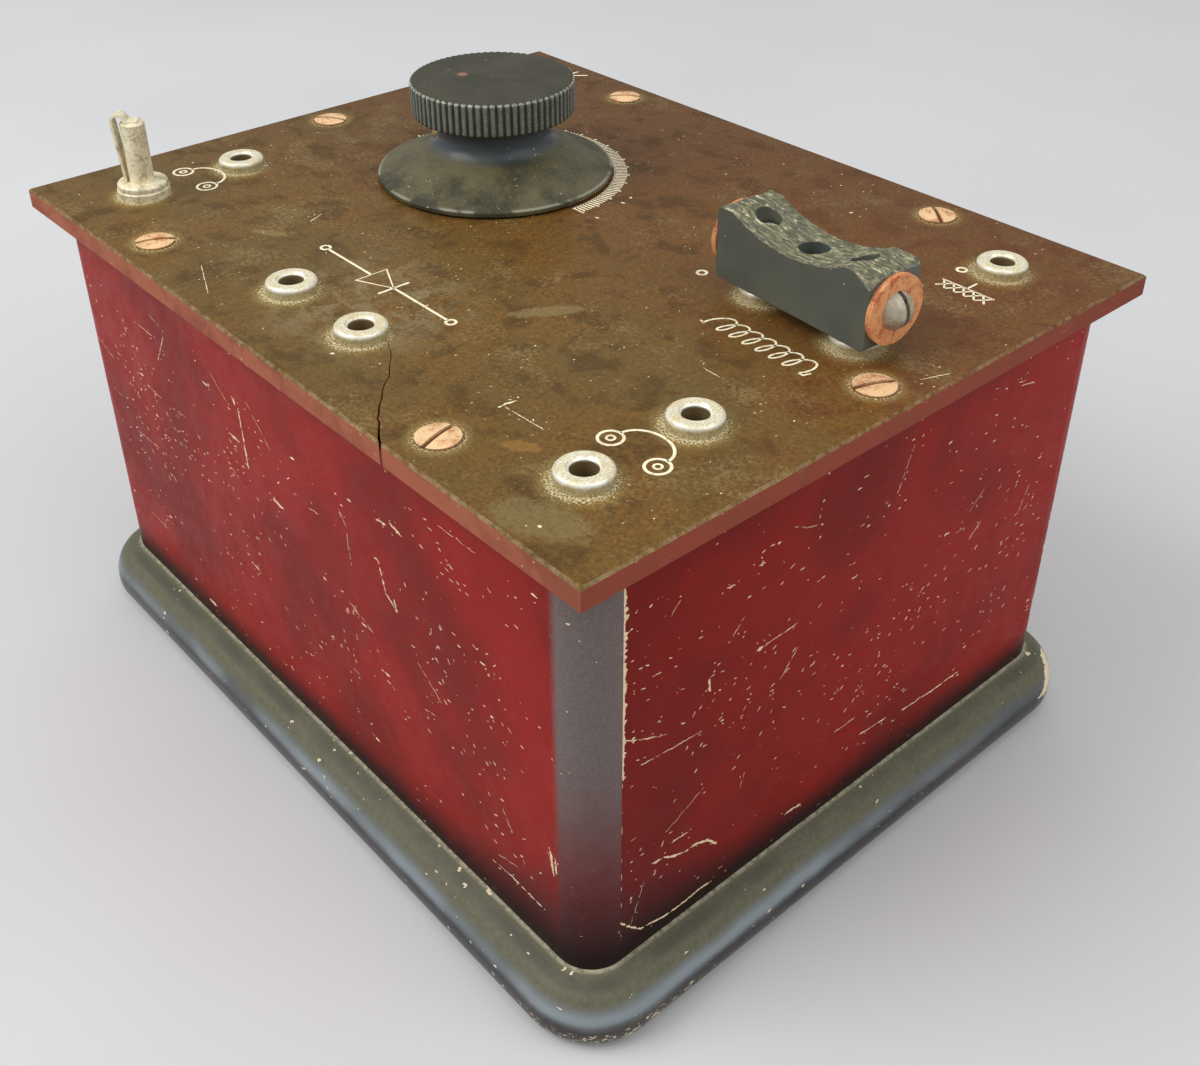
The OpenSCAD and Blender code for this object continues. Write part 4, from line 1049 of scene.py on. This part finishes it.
panelScratches = [  # points (x, y) and width
    ([(40.3, -43.6), (40.2, -42.1), (40.6, -40.4)], 0.35),
    ([(40.7, -42.7), (48.9, -42.4)], 0.14),
    ([(-27.8, -52.6), (-17.9, -56.7)], 0.12),
    ([(-30.6, -30.0), (-32.2, -26.6)], 0.16),
    ([(-60.0, -23.6), (-58.2, -22.3)], 0.4),
    ([(51.3, -14.5), (55.8, -14.6)], 0.12),
    ([(74.4, 6.3), (76.2, 11.0)], 0.12),
]
panelSpecks = [(1.6, 8.8), (-0.9, 19.2), (-0.2, 16.6), (30.0, 44.0), (12.0, -52.5), (65.5, -56.8)]
looseSpecks = {"count": 110, "reach": (75, 58)}  # on the panel
seamWear = {"top": 86.4, "torn": 50.0, "low": 14.0, "width": 0.6, "pitch": 0.28}

# Each wall: its face, its own scratches, then the small wear that is strewn over it
wallWear = {
    "front": {"lay": onFront, "lines": frontScratches, "groups": 52, "spread": 65,
              "lean": (-0.9, 0.5), "hairs": 22, "hairSpread": 66, "hairLean": (-1.6, 0.4)},
    "right": {"lay": onRight, "lines": rightScratches, "groups": 38, "spread": 49,
              "lean": (-0.3, 0.8), "hairs": 16, "hairSpread": 48, "hairLean": (-0.4, 1.3)},
    "back": {"lay": onBack, "lines": [], "groups": 40, "spread": 65,
             "lean": (-0.9, 0.5), "hairs": 18, "hairSpread": 66, "hairLean": (-1.6, 0.4)},
    "left": {"lay": onLeft, "lines": [], "groups": 30, "spread": 49,
             "lean": (-0.8, 0.3), "hairs": 12, "hairSpread": 48, "hairLean": (-1.3, 0.4)},
}
strewn = {
    "heights": (15, 84, 48),  # lowest, highest and most common middle of a group
    "scatter": (4.5, 3.0),  # of its flakes, along and up
    "within": (14.5, 85.5),
    "hairHeights": (20, 80),
}


# Groups of flakes that lean about the same way
def flakeGroups(marks, groups, spread, lean):
    (aside, above), (low, high) = strewn["scatter"], strewn["within"]
    for _ in range(groups):
        u = dice.uniform(-spread, spread)
        v = dice.triangular(*strewn["heights"])
        tilt = dice.uniform(*lean)
        for _ in range(dice.randint(3, 11)):
            spot = (max(-spread, min(spread, u + dice.gauss(0, aside))),
                    max(low, min(high, v + dice.gauss(0, above))))
            marks.flake(spot, dice.uniform(0.25, 1.25), dice.uniform(0.12, 0.36),
                        tilt + dice.uniform(-0.4, 0.4))


# Thin scratches that run across the boards
def hairs(marks, count, spread, lean):
    for _ in range(count):
        u, v = dice.uniform(-spread, spread), dice.uniform(*strewn["hairHeights"])
        angle = dice.uniform(*lean)
        reach = dice.uniform(1.0, 4.5)
        side = Vector((math.cos(angle), math.sin(angle))) * reach
        marks.scratch([(u - side.x, v - side.y), (u + side.x, v + side.y)],
                      dice.uniform(0.06, 0.16), 0.14, 0.4, 0.22, dice.randint(0, 3))


# Paint torn off along the joint at the right board's front end
def wearSeam(marks):
    wear = seamWear
    count = int((wear["top"] - wear["torn"]) / wear["pitch"])
    heights = [wear["top"] - wear["pitch"] * i for i in range(count)]
    line, widths = [], []
    for z in heights:
        wide = wear["width"] * (0.3 + 1.1 * abs(waver((0, 0, z), 3.1)) + 1.1 * dice.random() ** 3)
        line.append((seamY + 0.04 + wide / 2, z))
        widths.append(wide)
    marks.strip(line, widths)
    z = wear["torn"] - 0.5
    while z > wear["low"]:
        run = dice.uniform(0.3, 1.6)
        marks.scratch([(seamY + 0.1, z), (seamY + 0.1, z - run)], 0.13, 0.02, 0.3, 0, 0)
        z -= run + dice.uniform(1.2, 6.0)


def scratchWall(side, wood):
    wear = wallWear[side]
    marks = Marks(wear["lay"])
    for points, width in wear["lines"]:
        marks.scratch(points, width)
    flakeGroups(marks, wear["groups"], wear["spread"], wear["lean"])
    hairs(marks, wear["hairs"], wear["hairSpread"], wear["hairLean"])
    if side == "right":
        wearSeam(marks)
    marks.make(side + "_scratches", wood)


def scratchPanel():
    top = Marks(onPanel)
    for points, width in panelScratches:
        top.scratch(points, width, 0.05, 0.3, 0.05, 2)
    for spot in panelSpecks:
        top.flake(spot, 0.9, 0.6, 0.4)
    for _ in range(looseSpecks["count"]):
        spot = [dice.uniform(-reach, reach) for reach in looseSpecks["reach"]]
        top.flake(spot, dice.uniform(0.15, 0.55), dice.uniform(0.1, 0.3), dice.uniform(-1.5, 1.5))
    top.make("panel_scratches", creamFinish("panel_grit"))


def makeScratches():
    wood = woodFinish()
    scratchWall("front", wood)
    scratchWall("right", wood)
    scratchPanel()
    scratchWall("back", wood)
    scratchWall("left", wood)


makeScratches()
print("scratches made")


# Fluted tuning knob on its skirt
knob = {
    "flutes": 72,
    "samples": 12,  # points round one flute
    "depth": 0.42,
    "grooveWidth": 0.42,  # share of half a flute
    "ribRound": 0.15,
    "fluteWear": 0.35,
    "wearSize": 1.3,
    "discR": 15.1,
    "discLow": 12.4,
    "discHigh": 18.4,
    "neckR": 10.5,
    "skirtR": 22.0,
    "rimLow": 0.35,
    "rimHigh": 1.4,
    "neckFoot": 6.9,
    "fillet": 4.0,
    "hollowR": 18.5,
    "roof": 4.0,
    "black": (0.042, 0.04, 0.026),
    "grey": (0.06, 0.056, 0.037),
    "dust": (0.16, 0.14, 0.07),
    "filletSheen": (0.095, 0.12, 0.145),
    "fleck": (0.55, 0.5, 0.32),
    "flecks": [(1.3, 0.16, 0.15), (0.6, 0.16, 0.22)],
    "rib": (0.085, 0.09, 0.075),
    # painted shade in the flute grooves
    "groove": (0.03, 0.032, 0.028),
    "ribWearAndHighlight": (0.3, 0.32, 0.27),
    "lipWorn": (0.6, 0.62, 0.5),
    "rimWorn": (0.4, 0.4, 0.33),
    "spotAt": (-4.8, -3.1),  # a drop of old paint on top, from the axis
    "spot": (0.36, 0.15, 0.11),
    "sheen": (1.0, 0.95, 0.8),
    "gloss": 0.22,
    "rough": (0.4, 0.5),  # skirt, and disc
    "filletRough": 0.24,
    "cloudSize": 9,
    "fineSize": 0.6,
    "gritSize": 0.3,
}


def knobFinish():
    f = Finish("ebonite_knob")
    k = knob
    z = f.axes()[2]
    up = f.axes(f.facing)[2]
    height = f.sub(z, panelTop)
    radius = f.distance((knobAxis.x, knobAxis.y, 0), f.moved(scale=(1, 1, 0)))
    cloud = f.noise(k["cloudSize"], 4)
    fine = f.noise(k["fineSize"], 4, 0.7)
    grit = f.noise(k["gritSize"], 3, 0.8)
    color = f.mix(f.step(cloud, 0.35, 0.7), k["black"], k["grey"])
    onSkirt = f.fade(height, 6.5, 9.0)
    dusty = f.mul(onSkirt, f.step(f.add(cloud, f.mul(fine, 0.4)), 0.5, 0.85))
    color = f.mix(f.mul(dusty, 0.7), color, k["dust"])
    fillet = f.mul(f.step(height, 5.5, 7.5), f.fade(height, 9.5, 12.0))
    color = f.mix(f.mul(fillet, 0.7), color, k["filletSheen"])
    ragged = f.warped(0.4, 0.5)
    dense = f.step(f.noise(6, 3), 0.4, 0.6, 0.3, 1.15)
    speck = f.manyFlecks(k["flecks"], ragged, dense)
    color = f.mix(f.mul(speck, f.step(height, 11, 12.5, 0.85, 0.35)), color, k["fleck"])

    onDisc = f.step(height, k["discLow"] - 0.5, k["discLow"])
    upright = f.mul(f.fade(f.size(up), 0.35, 0.8), onDisc)
    # Painted shade: the flute grooves are darkened by radius
    groove = f.fade(radius, k["discR"] - 0.4, k["discR"] - 0.12)
    color = f.mix(upright, color, k["rib"])
    color = f.mix(f.mul(upright, f.mul(groove, 0.6)), color, k["groove"])
    # Worn edges and painted highlight along the ridge tops
    ridge = f.mul(f.step(radius, k["discR"] - 0.15, k["discR"] - 0.03), onDisc)
    ridgeWearAndHighlight = f.mul(f.mul(ridge, upright), f.step(grit, 0.4, 0.62, 0.15, 0.7))
    color = f.mix(ridgeWearAndHighlight, color, k["ribWearAndHighlight"])
    lip = f.mul(f.fade(f.size(f.sub(height, k["discHigh"] - 0.25)), 0.05, 0.4),
                f.step(radius, k["discR"] - 0.5, k["discR"] - 0.15))
    color = f.mix(f.mul(lip, f.step(grit, 0.42, 0.58, 0.1, 0.9)), color, k["lipWorn"])
    rim = f.mul(f.fade(f.size(f.sub(height, k["rimHigh"] - 0.1)), 0.05, 0.25),
                f.step(cloud, 0.4, 0.5))
    color = f.mix(f.mul(rim, 0.5), color, k["rimWorn"])
    spotX, spotY = k["spotAt"]
    spot = f.distance((knobAxis.x + spotX, knobAxis.y + spotY, panelTop + k["discHigh"]))
    color = f.mix(f.step(f.add(spot, fine), 1.2, 1.6, 0.8, 0.0), color, k["spot"])
    f.bump(f.add(fine, f.mul(speck, 0.5)), strength=0.2, depth=0.05)
    rough = f.blend(fillet, f.step(height, 8, 12, *k["rough"]), k["filletRough"])
    return f.set(color=color, rough=rough, gloss=k["gloss"], glossColor=k["sheen"])


# Half section from the hollow under the skirt out to the rim and up to the disc's middle
def knobProfile():
    k = knob
    slope = math.atan((k["neckFoot"] - k["rimHigh"]) / (k["skirtR"] - k["neckR"]))
    reach = k["fillet"] * math.tan((math.pi / 2 - slope) / 2)
    centerR = k["neckR"] + k["fillet"]
    centerZ = k["neckFoot"] + reach
    points = [(0, k["roof"]), (k["neckR"] * 0.5, k["roof"]), (k["neckR"], k["roof"] - 0.1),
              (k["hollowR"], k["rimLow"] + 0.05), (k["hollowR"] + 0.1, k["rimLow"]),
              (k["skirtR"] - 0.25, k["rimLow"])]
    points += arc(k["skirtR"] - 0.2, k["rimLow"] + 0.2, 0.2, -80, 0, 3)
    points += arc(k["skirtR"] - 0.3, k["rimHigh"] - 0.35, 0.3, 0, 62, 4)
    steps = 14
    joinR = k["neckR"] + reach * math.cos(slope)
    joinZ = k["neckFoot"] - reach * math.sin(slope)
    for i in range(1, steps):
        t = i / steps
        points.append(((k["skirtR"] - 0.45) * (1 - t) + joinR * t,
                       (k["rimHigh"] + 0.02) * (1 - t) + joinZ * t))
    points += arc(centerR, centerZ, k["fillet"], 270 - math.degrees(slope), 180, 12)
    points += [(k["neckR"], k["discLow"] - 0.9), (k["neckR"] + 0.25, k["discLow"] - 0.25),
               (k["neckR"] + 0.6, k["discLow"]), (k["discR"] - 1.2, k["discLow"])]
    points += arc(k["discR"] - 0.45, k["discLow"] + 0.45, 0.45, -80, 0, 4)
    for i in range(1, 6):
        points.append((k["discR"], k["discLow"] + 0.45 + i * 0.85))
    points += arc(k["discR"] - 0.5, k["discHigh"] - 0.5, 0.5, 0, 85, 5)
    points += [(k["discR"] - 0.9, k["discHigh"]), (k["discR"] * 0.66, k["discHigh"]),
               (k["discR"] * 0.33, k["discHigh"]), (0, k["discHigh"])]
    return points


# Presses the flutes into the disc's rim, some deeper than others
def fluted(r, z, angle):
    k = knob
    if r < k["discR"] - 1.3 or z < k["discLow"] - 0.1:
        return r, z
    phase = (angle * k["flutes"] / (2 * math.pi)) % 1.0
    away = min(phase, 1 - phase) * 2
    groove = math.exp(-(away / k["grooveWidth"]) ** 2) + k["ribRound"] * away ** 4
    rimSpot = (15 * math.cos(angle), 15 * math.sin(angle), z)
    wear = 1 + k["fluteWear"] * waver(rimSpot, k["wearSize"])
    return r - k["depth"] * groove * wear, z


def makeKnob():
    k = knob
    verts, faces = turned(knobProfile(), k["flutes"] * k["samples"], fluted)
    verts = placed(verts, Matrix.Translation((knobAxis.x, knobAxis.y, panelTop)))
    obj = dressed(solid("fluted_knob", verts, faces), knobFinish(), "tuner")
    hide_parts("tuning_knob")


makeKnob()
print("knob made")


# Coil block with its sawn saddle
coilBlock = {
    "voxel": 0.2,
    "chip": (3.4, 3.6, 2.0),  # size of the broken corner along, across and down
    "torn": (0.2, 0.12, 0.16),  # streaks and grit of the saddle, and how far it is lowered
    "tornFrom": 5.0,  # depth below the top that the torn face reaches
    "dents": 0.03,
    "dentSize": 2.5,
    "black": (0.088, 0.096, 0.08),
    "grey": (0.11, 0.115, 0.09),
    "fibreDark": (0.085, 0.088, 0.055),
    "fibre": (0.25, 0.23, 0.13),
    "fibrePale": (0.75, 0.7, 0.46),
    "edge": (0.4, 0.4, 0.28),
    "fleck": (0.5, 0.5, 0.4),
    "gloss": 0.35,
    "rough": (0.38, 0.6),  # smooth faces, and the torn saddle
    "fibreSize": 0.9,
    "fineSize": 0.5,
    "cloudSize": 8,
}


def blockFinish():
    f = Finish("ebonite_block")
    paint = coilBlock
    alongGrain = f.warped(1.2, 1.0, f.moved(turn=(0, 0, 12), scale=(0.4, 1.5, 1.0)))
    up = f.axes(f.facing)[2]
    fibre = f.noise(paint["fibreSize"], 6, 0.7, alongGrain, 0.5)
    fine = f.noise(paint["fineSize"], 4, 0.7)
    cloud = f.noise(paint["cloudSize"], 3)
    color = f.mix(f.step(cloud, 0.35, 0.7), paint["black"], paint["grey"])
    sawn = f.step(up, 0.35, 0.6)
    rawColor = f.mix(f.step(fibre, 0.42, 0.6), paint["fibreDark"], paint["fibre"])
    rawColor = f.mix(f.mul(f.step(fibre, 0.58, 0.66), 0.85), rawColor, paint["fibrePale"])
    color = f.mix(sawn, color, rawColor)
    edge = f.mul(f.fade(f.size(f.sub(up, 0.4)), 0.05, 0.3), f.step(fine, 0.42, 0.6))
    color = f.mix(f.mul(edge, 0.6), color, paint["edge"])
    speck = f.flecks(0.9, 0.05, 0.2)
    color = f.mix(f.mul(speck, 0.6), color, paint["fleck"])
    f.bump(f.add(f.mul(fine, 0.3), f.mul(f.mul(fibre, sawn), 0.8)), strength=0.4, depth=0.12)
    rough = f.blend(sawn, *paint["rough"])
    return f.set(color=color, rough=rough, gloss=paint["gloss"])


def makeCoilBlock():
    block = welded("coil_block", "sawn_block")
    blockTop = boxOf("coil_block")[1].z
    home = Matrix.Translation((coilAxis.x * mm, coilAxis.y * mm, 0))
    home = home @ Matrix.Rotation(coilTurn, 4, "Z")
    block.data.transform(home.inverted())
    shape = bmesh.new()
    shape.from_mesh(block.data)
    right = max(v.co.x for v in shape.verts)
    front = min(v.co.y for v in shape.verts)
    along, across, down = (s * mm for s in coilBlock["chip"])
    corner = Vector((right, front, blockTop * mm))
    a, b, c = (corner + Vector((-along, 0, 0)), corner + Vector((0, across, 0)),
               corner + Vector((0, 0, -down)))
    normal = (b - a).cross(c - a).normalized()
    if normal.dot(corner - a) < 0:
        normal = -normal
    cutEdge = bmesh.ops.bisect_plane(shape, geom=shape.verts[:] + shape.edges[:] + shape.faces[:],
                                     plane_co=a, plane_no=normal, clear_outer=True)
    rim = [e for e in cutEdge["geom_cut"] if isinstance(e, bmesh.types.BMEdge)]
    bmesh.ops.contextual_create(shape, geom=rim)
    shape.to_mesh(block.data)
    shape.free()
    remesh = block.modifiers.new("remesh", "REMESH")
    remesh.mode = "VOXEL"
    remesh.voxel_size = coilBlock["voxel"] * mm
    bpy.context.view_layer.update()
    settle(block)
    streakDepth, gritDepth, lowered = coilBlock["torn"]
    normals = [v.normal.copy() for v in block.data.vertices]
    for vert, n in zip(block.data.vertices, normals):
        p = vert.co / mm
        if n.z > 0.4 and p.z > blockTop - coilBlock["tornFrom"]:
            streak = waver((p.x * 0.4 + p.y * 0.2, p.y * 1.7, p.z), 0.9, 3)
            grit = waver(p, 0.5, 9)
            vert.co += n * mm * (streakDepth * streak + gritDepth * grit - lowered)
        else:
            vert.co += n * mm * coilBlock["dents"] * waver(p, coilBlock["dentSize"], 5)
    block.data.transform(home)
    dressed(block, blockFinish(), "coil_plug")
    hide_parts("coil_block")


makeCoilBlock()
print("coil block made")


# Parts that keep their CAD shape: base color, worn color, roughness and metal
plain = {
    "panel_board": ((0.2, 0.12, 0.05), (0.1, 0.06, 0.03), 0.45, 0.0),
    "ebonite": ((0.05, 0.05, 0.042), (0.1, 0.09, 0.06), 0.45, 0.0),
    "nickel": ((0.98, 0.95, 0.83), (0.7, 0.6, 0.33), 0.3, 0.25),
    "dull_nickel": ((0.9, 0.82, 0.58), (0.4, 0.35, 0.2), 0.42, 0.3),
    "brass_parts": ((0.84, 0.6, 0.27), (0.5, 0.32, 0.13), 0.35, 0.6),
    "screw_metal": ((0.93, 0.62, 0.33), (0.5, 0.2, 0.08), 0.45, 0.3),
    "rusty_washer": ((0.74, 0.33, 0.13), (0.42, 0.07, 0.03), 0.65, 0.1),
    "steel": ((0.47, 0.42, 0.32), (0.28, 0.19, 0.12), 0.38, 0.4),
    "plates": ((0.62, 0.63, 0.63), (0.4, 0.41, 0.42), 0.35, 0.9),
    "pressed_block": ((0.08, 0.05, 0.03), (0.15, 0.09, 0.05), 0.6, 0.0),
    "tinned_wire": ((0.6, 0.59, 0.55), (0.4, 0.38, 0.33), 0.3, 0.9),
}
dirtAndShade = {
    "patchSize": 2.6,  # mm
    "fineSize": 0.45,
    "bore": (0.16, 0.105, 0.045),
    "boreReach": (2.04, 2.2),  # radii between which the dirt in a bore ends
    "boreTop": (1.2, 1.8),  # and heights above the panel
    "grimeDark": (0.27, 0.21, 0.08),  # round the foot of a flange
    "grimePale": (0.58, 0.5, 0.26),
    "scuff": (0.62, 0.52, 0.27),  # on top of a flange
    # painted shade in the slots of the panel screws
    "screwSlotShade": (0.2, 0.09, 0.04),
    "screwSlotFloor": (0.1, 0.28),  # heights above the panel
    "endSlotShade": (0.05, 0.04, 0.03),
    "endSlotHalf": 0.36,
    "endSlotFrom": 20.0,  # x beyond which only the coil block's end screws are steel with slots
}
dullNodes = ["contact_pin", "bow_spring"]


# Dirt in the bores of the sockets
def boreShade(f):
    inside = 0.0
    flat = f.moved(scale=(1, 1, 0))
    for name in sockets:
        middle = middleOf(name)
        away = f.distance((middle.x, middle.y, 0), flat)
        inside = f.top(inside, f.fade(away, *dirtAndShade["boreReach"]))
    low, high = dirtAndShade["boreTop"]
    return f.mul(inside, f.fade(f.axes()[2], panelTop + low, panelTop + high))


# Painted shade in the upright slots of the coil block's end screws
def endSlotShade(f):
    x, y = f.axes()[:2]
    off = f.add(f.mul(f.sub(x, coilAxis.x), -math.sin(coilTurn)),
                f.mul(f.sub(y, coilAxis.y), math.cos(coilTurn)))
    inSlot = f.math("LESS_THAN", f.size(off), dirtAndShade["endSlotHalf"])
    return f.mul(inSlot, f.math("GREATER_THAN", x, dirtAndShade["endSlotFrom"]))


def plainFinish(name):
    clean, dull, baseRough, metal = plain[name]
    f = Finish(name)
    tone = f.noise(dirtAndShade["patchSize"], 5, 0.65)
    fine = f.noise(dirtAndShade["fineSize"], 3, 0.7)
    worn = f.step(f.add(f.mul(tone, 0.8), f.mul(fine, 0.5)), 0.6, 0.8)
    pits = f.flecks(0.7, 0.22, 0.26, f.warped(0.4, 0.4))
    color = f.mix(f.mul(worn, 0.85), clean, dull)
    color = f.mix(f.mul(pits, 0.5), color, dull)
    f.bump(f.sub(f.mul(fine, 0.6), f.mul(pits, 0.5)), strength=0.35, depth=0.05)
    rough = f.step(worn, 0.0, 1.0, baseRough, baseRough + 0.2)
    if name == "screw_metal":
        # Painted shade in the screw slots, darker towards their floor
        low, high = dirtAndShade["screwSlotFloor"]
        slotShade = f.step(f.axes()[2], panelTop + low, panelTop + high, 0.75, 0.0)
        color = f.mix(slotShade, color, dirtAndShade["screwSlotShade"])
    if name == "steel":
        color = f.mix(endSlotShade(f), color, dirtAndShade["endSlotShade"])
    if name == "nickel":
        inside = boreShade(f)
        height = f.sub(f.axes()[2], panelTop)
        speckled = f.step(f.noise(0.3, 4, 0.8), 0.42, 0.58, 0.1, 0.95)
        scuffed = f.mul(f.step(height, 1.75, 1.95), speckled)
        color = f.mix(scuffed, color, dirtAndShade["scuff"])
        grimeTop = f.ragged(height, fine, 0.9)
        grimy = f.mul(f.fade(grimeTop, 0.95, 1.55), f.step(tone, 0.3, 0.6, 0.8, 0.97))
        grime = f.mix(speckled, dirtAndShade["grimeDark"], dirtAndShade["grimePale"])
        color = f.mix(grimy, color, grime)
        color = f.mix(inside, color, dirtAndShade["bore"])
        metal = f.step(inside, 0.0, 1.0, metal, 0.0)
    return f.set(color=color, rough=rough, metal=metal)


def dressNodes():
    table = {name: plainFinish(name) for name in plain}
    table["case_paint"] = wallFinish()
    table["base_lacquer"] = baseFinish()
    for part in frame["record"]["subparts"]:
        name = part["node"]
        finish = table["dull_nickel" if name in dullNodes else part["material_slot"]]
        nodes[name].data.materials.clear()
        nodes[name].data.materials.append(finish)


dressNodes()
print("finishes set")
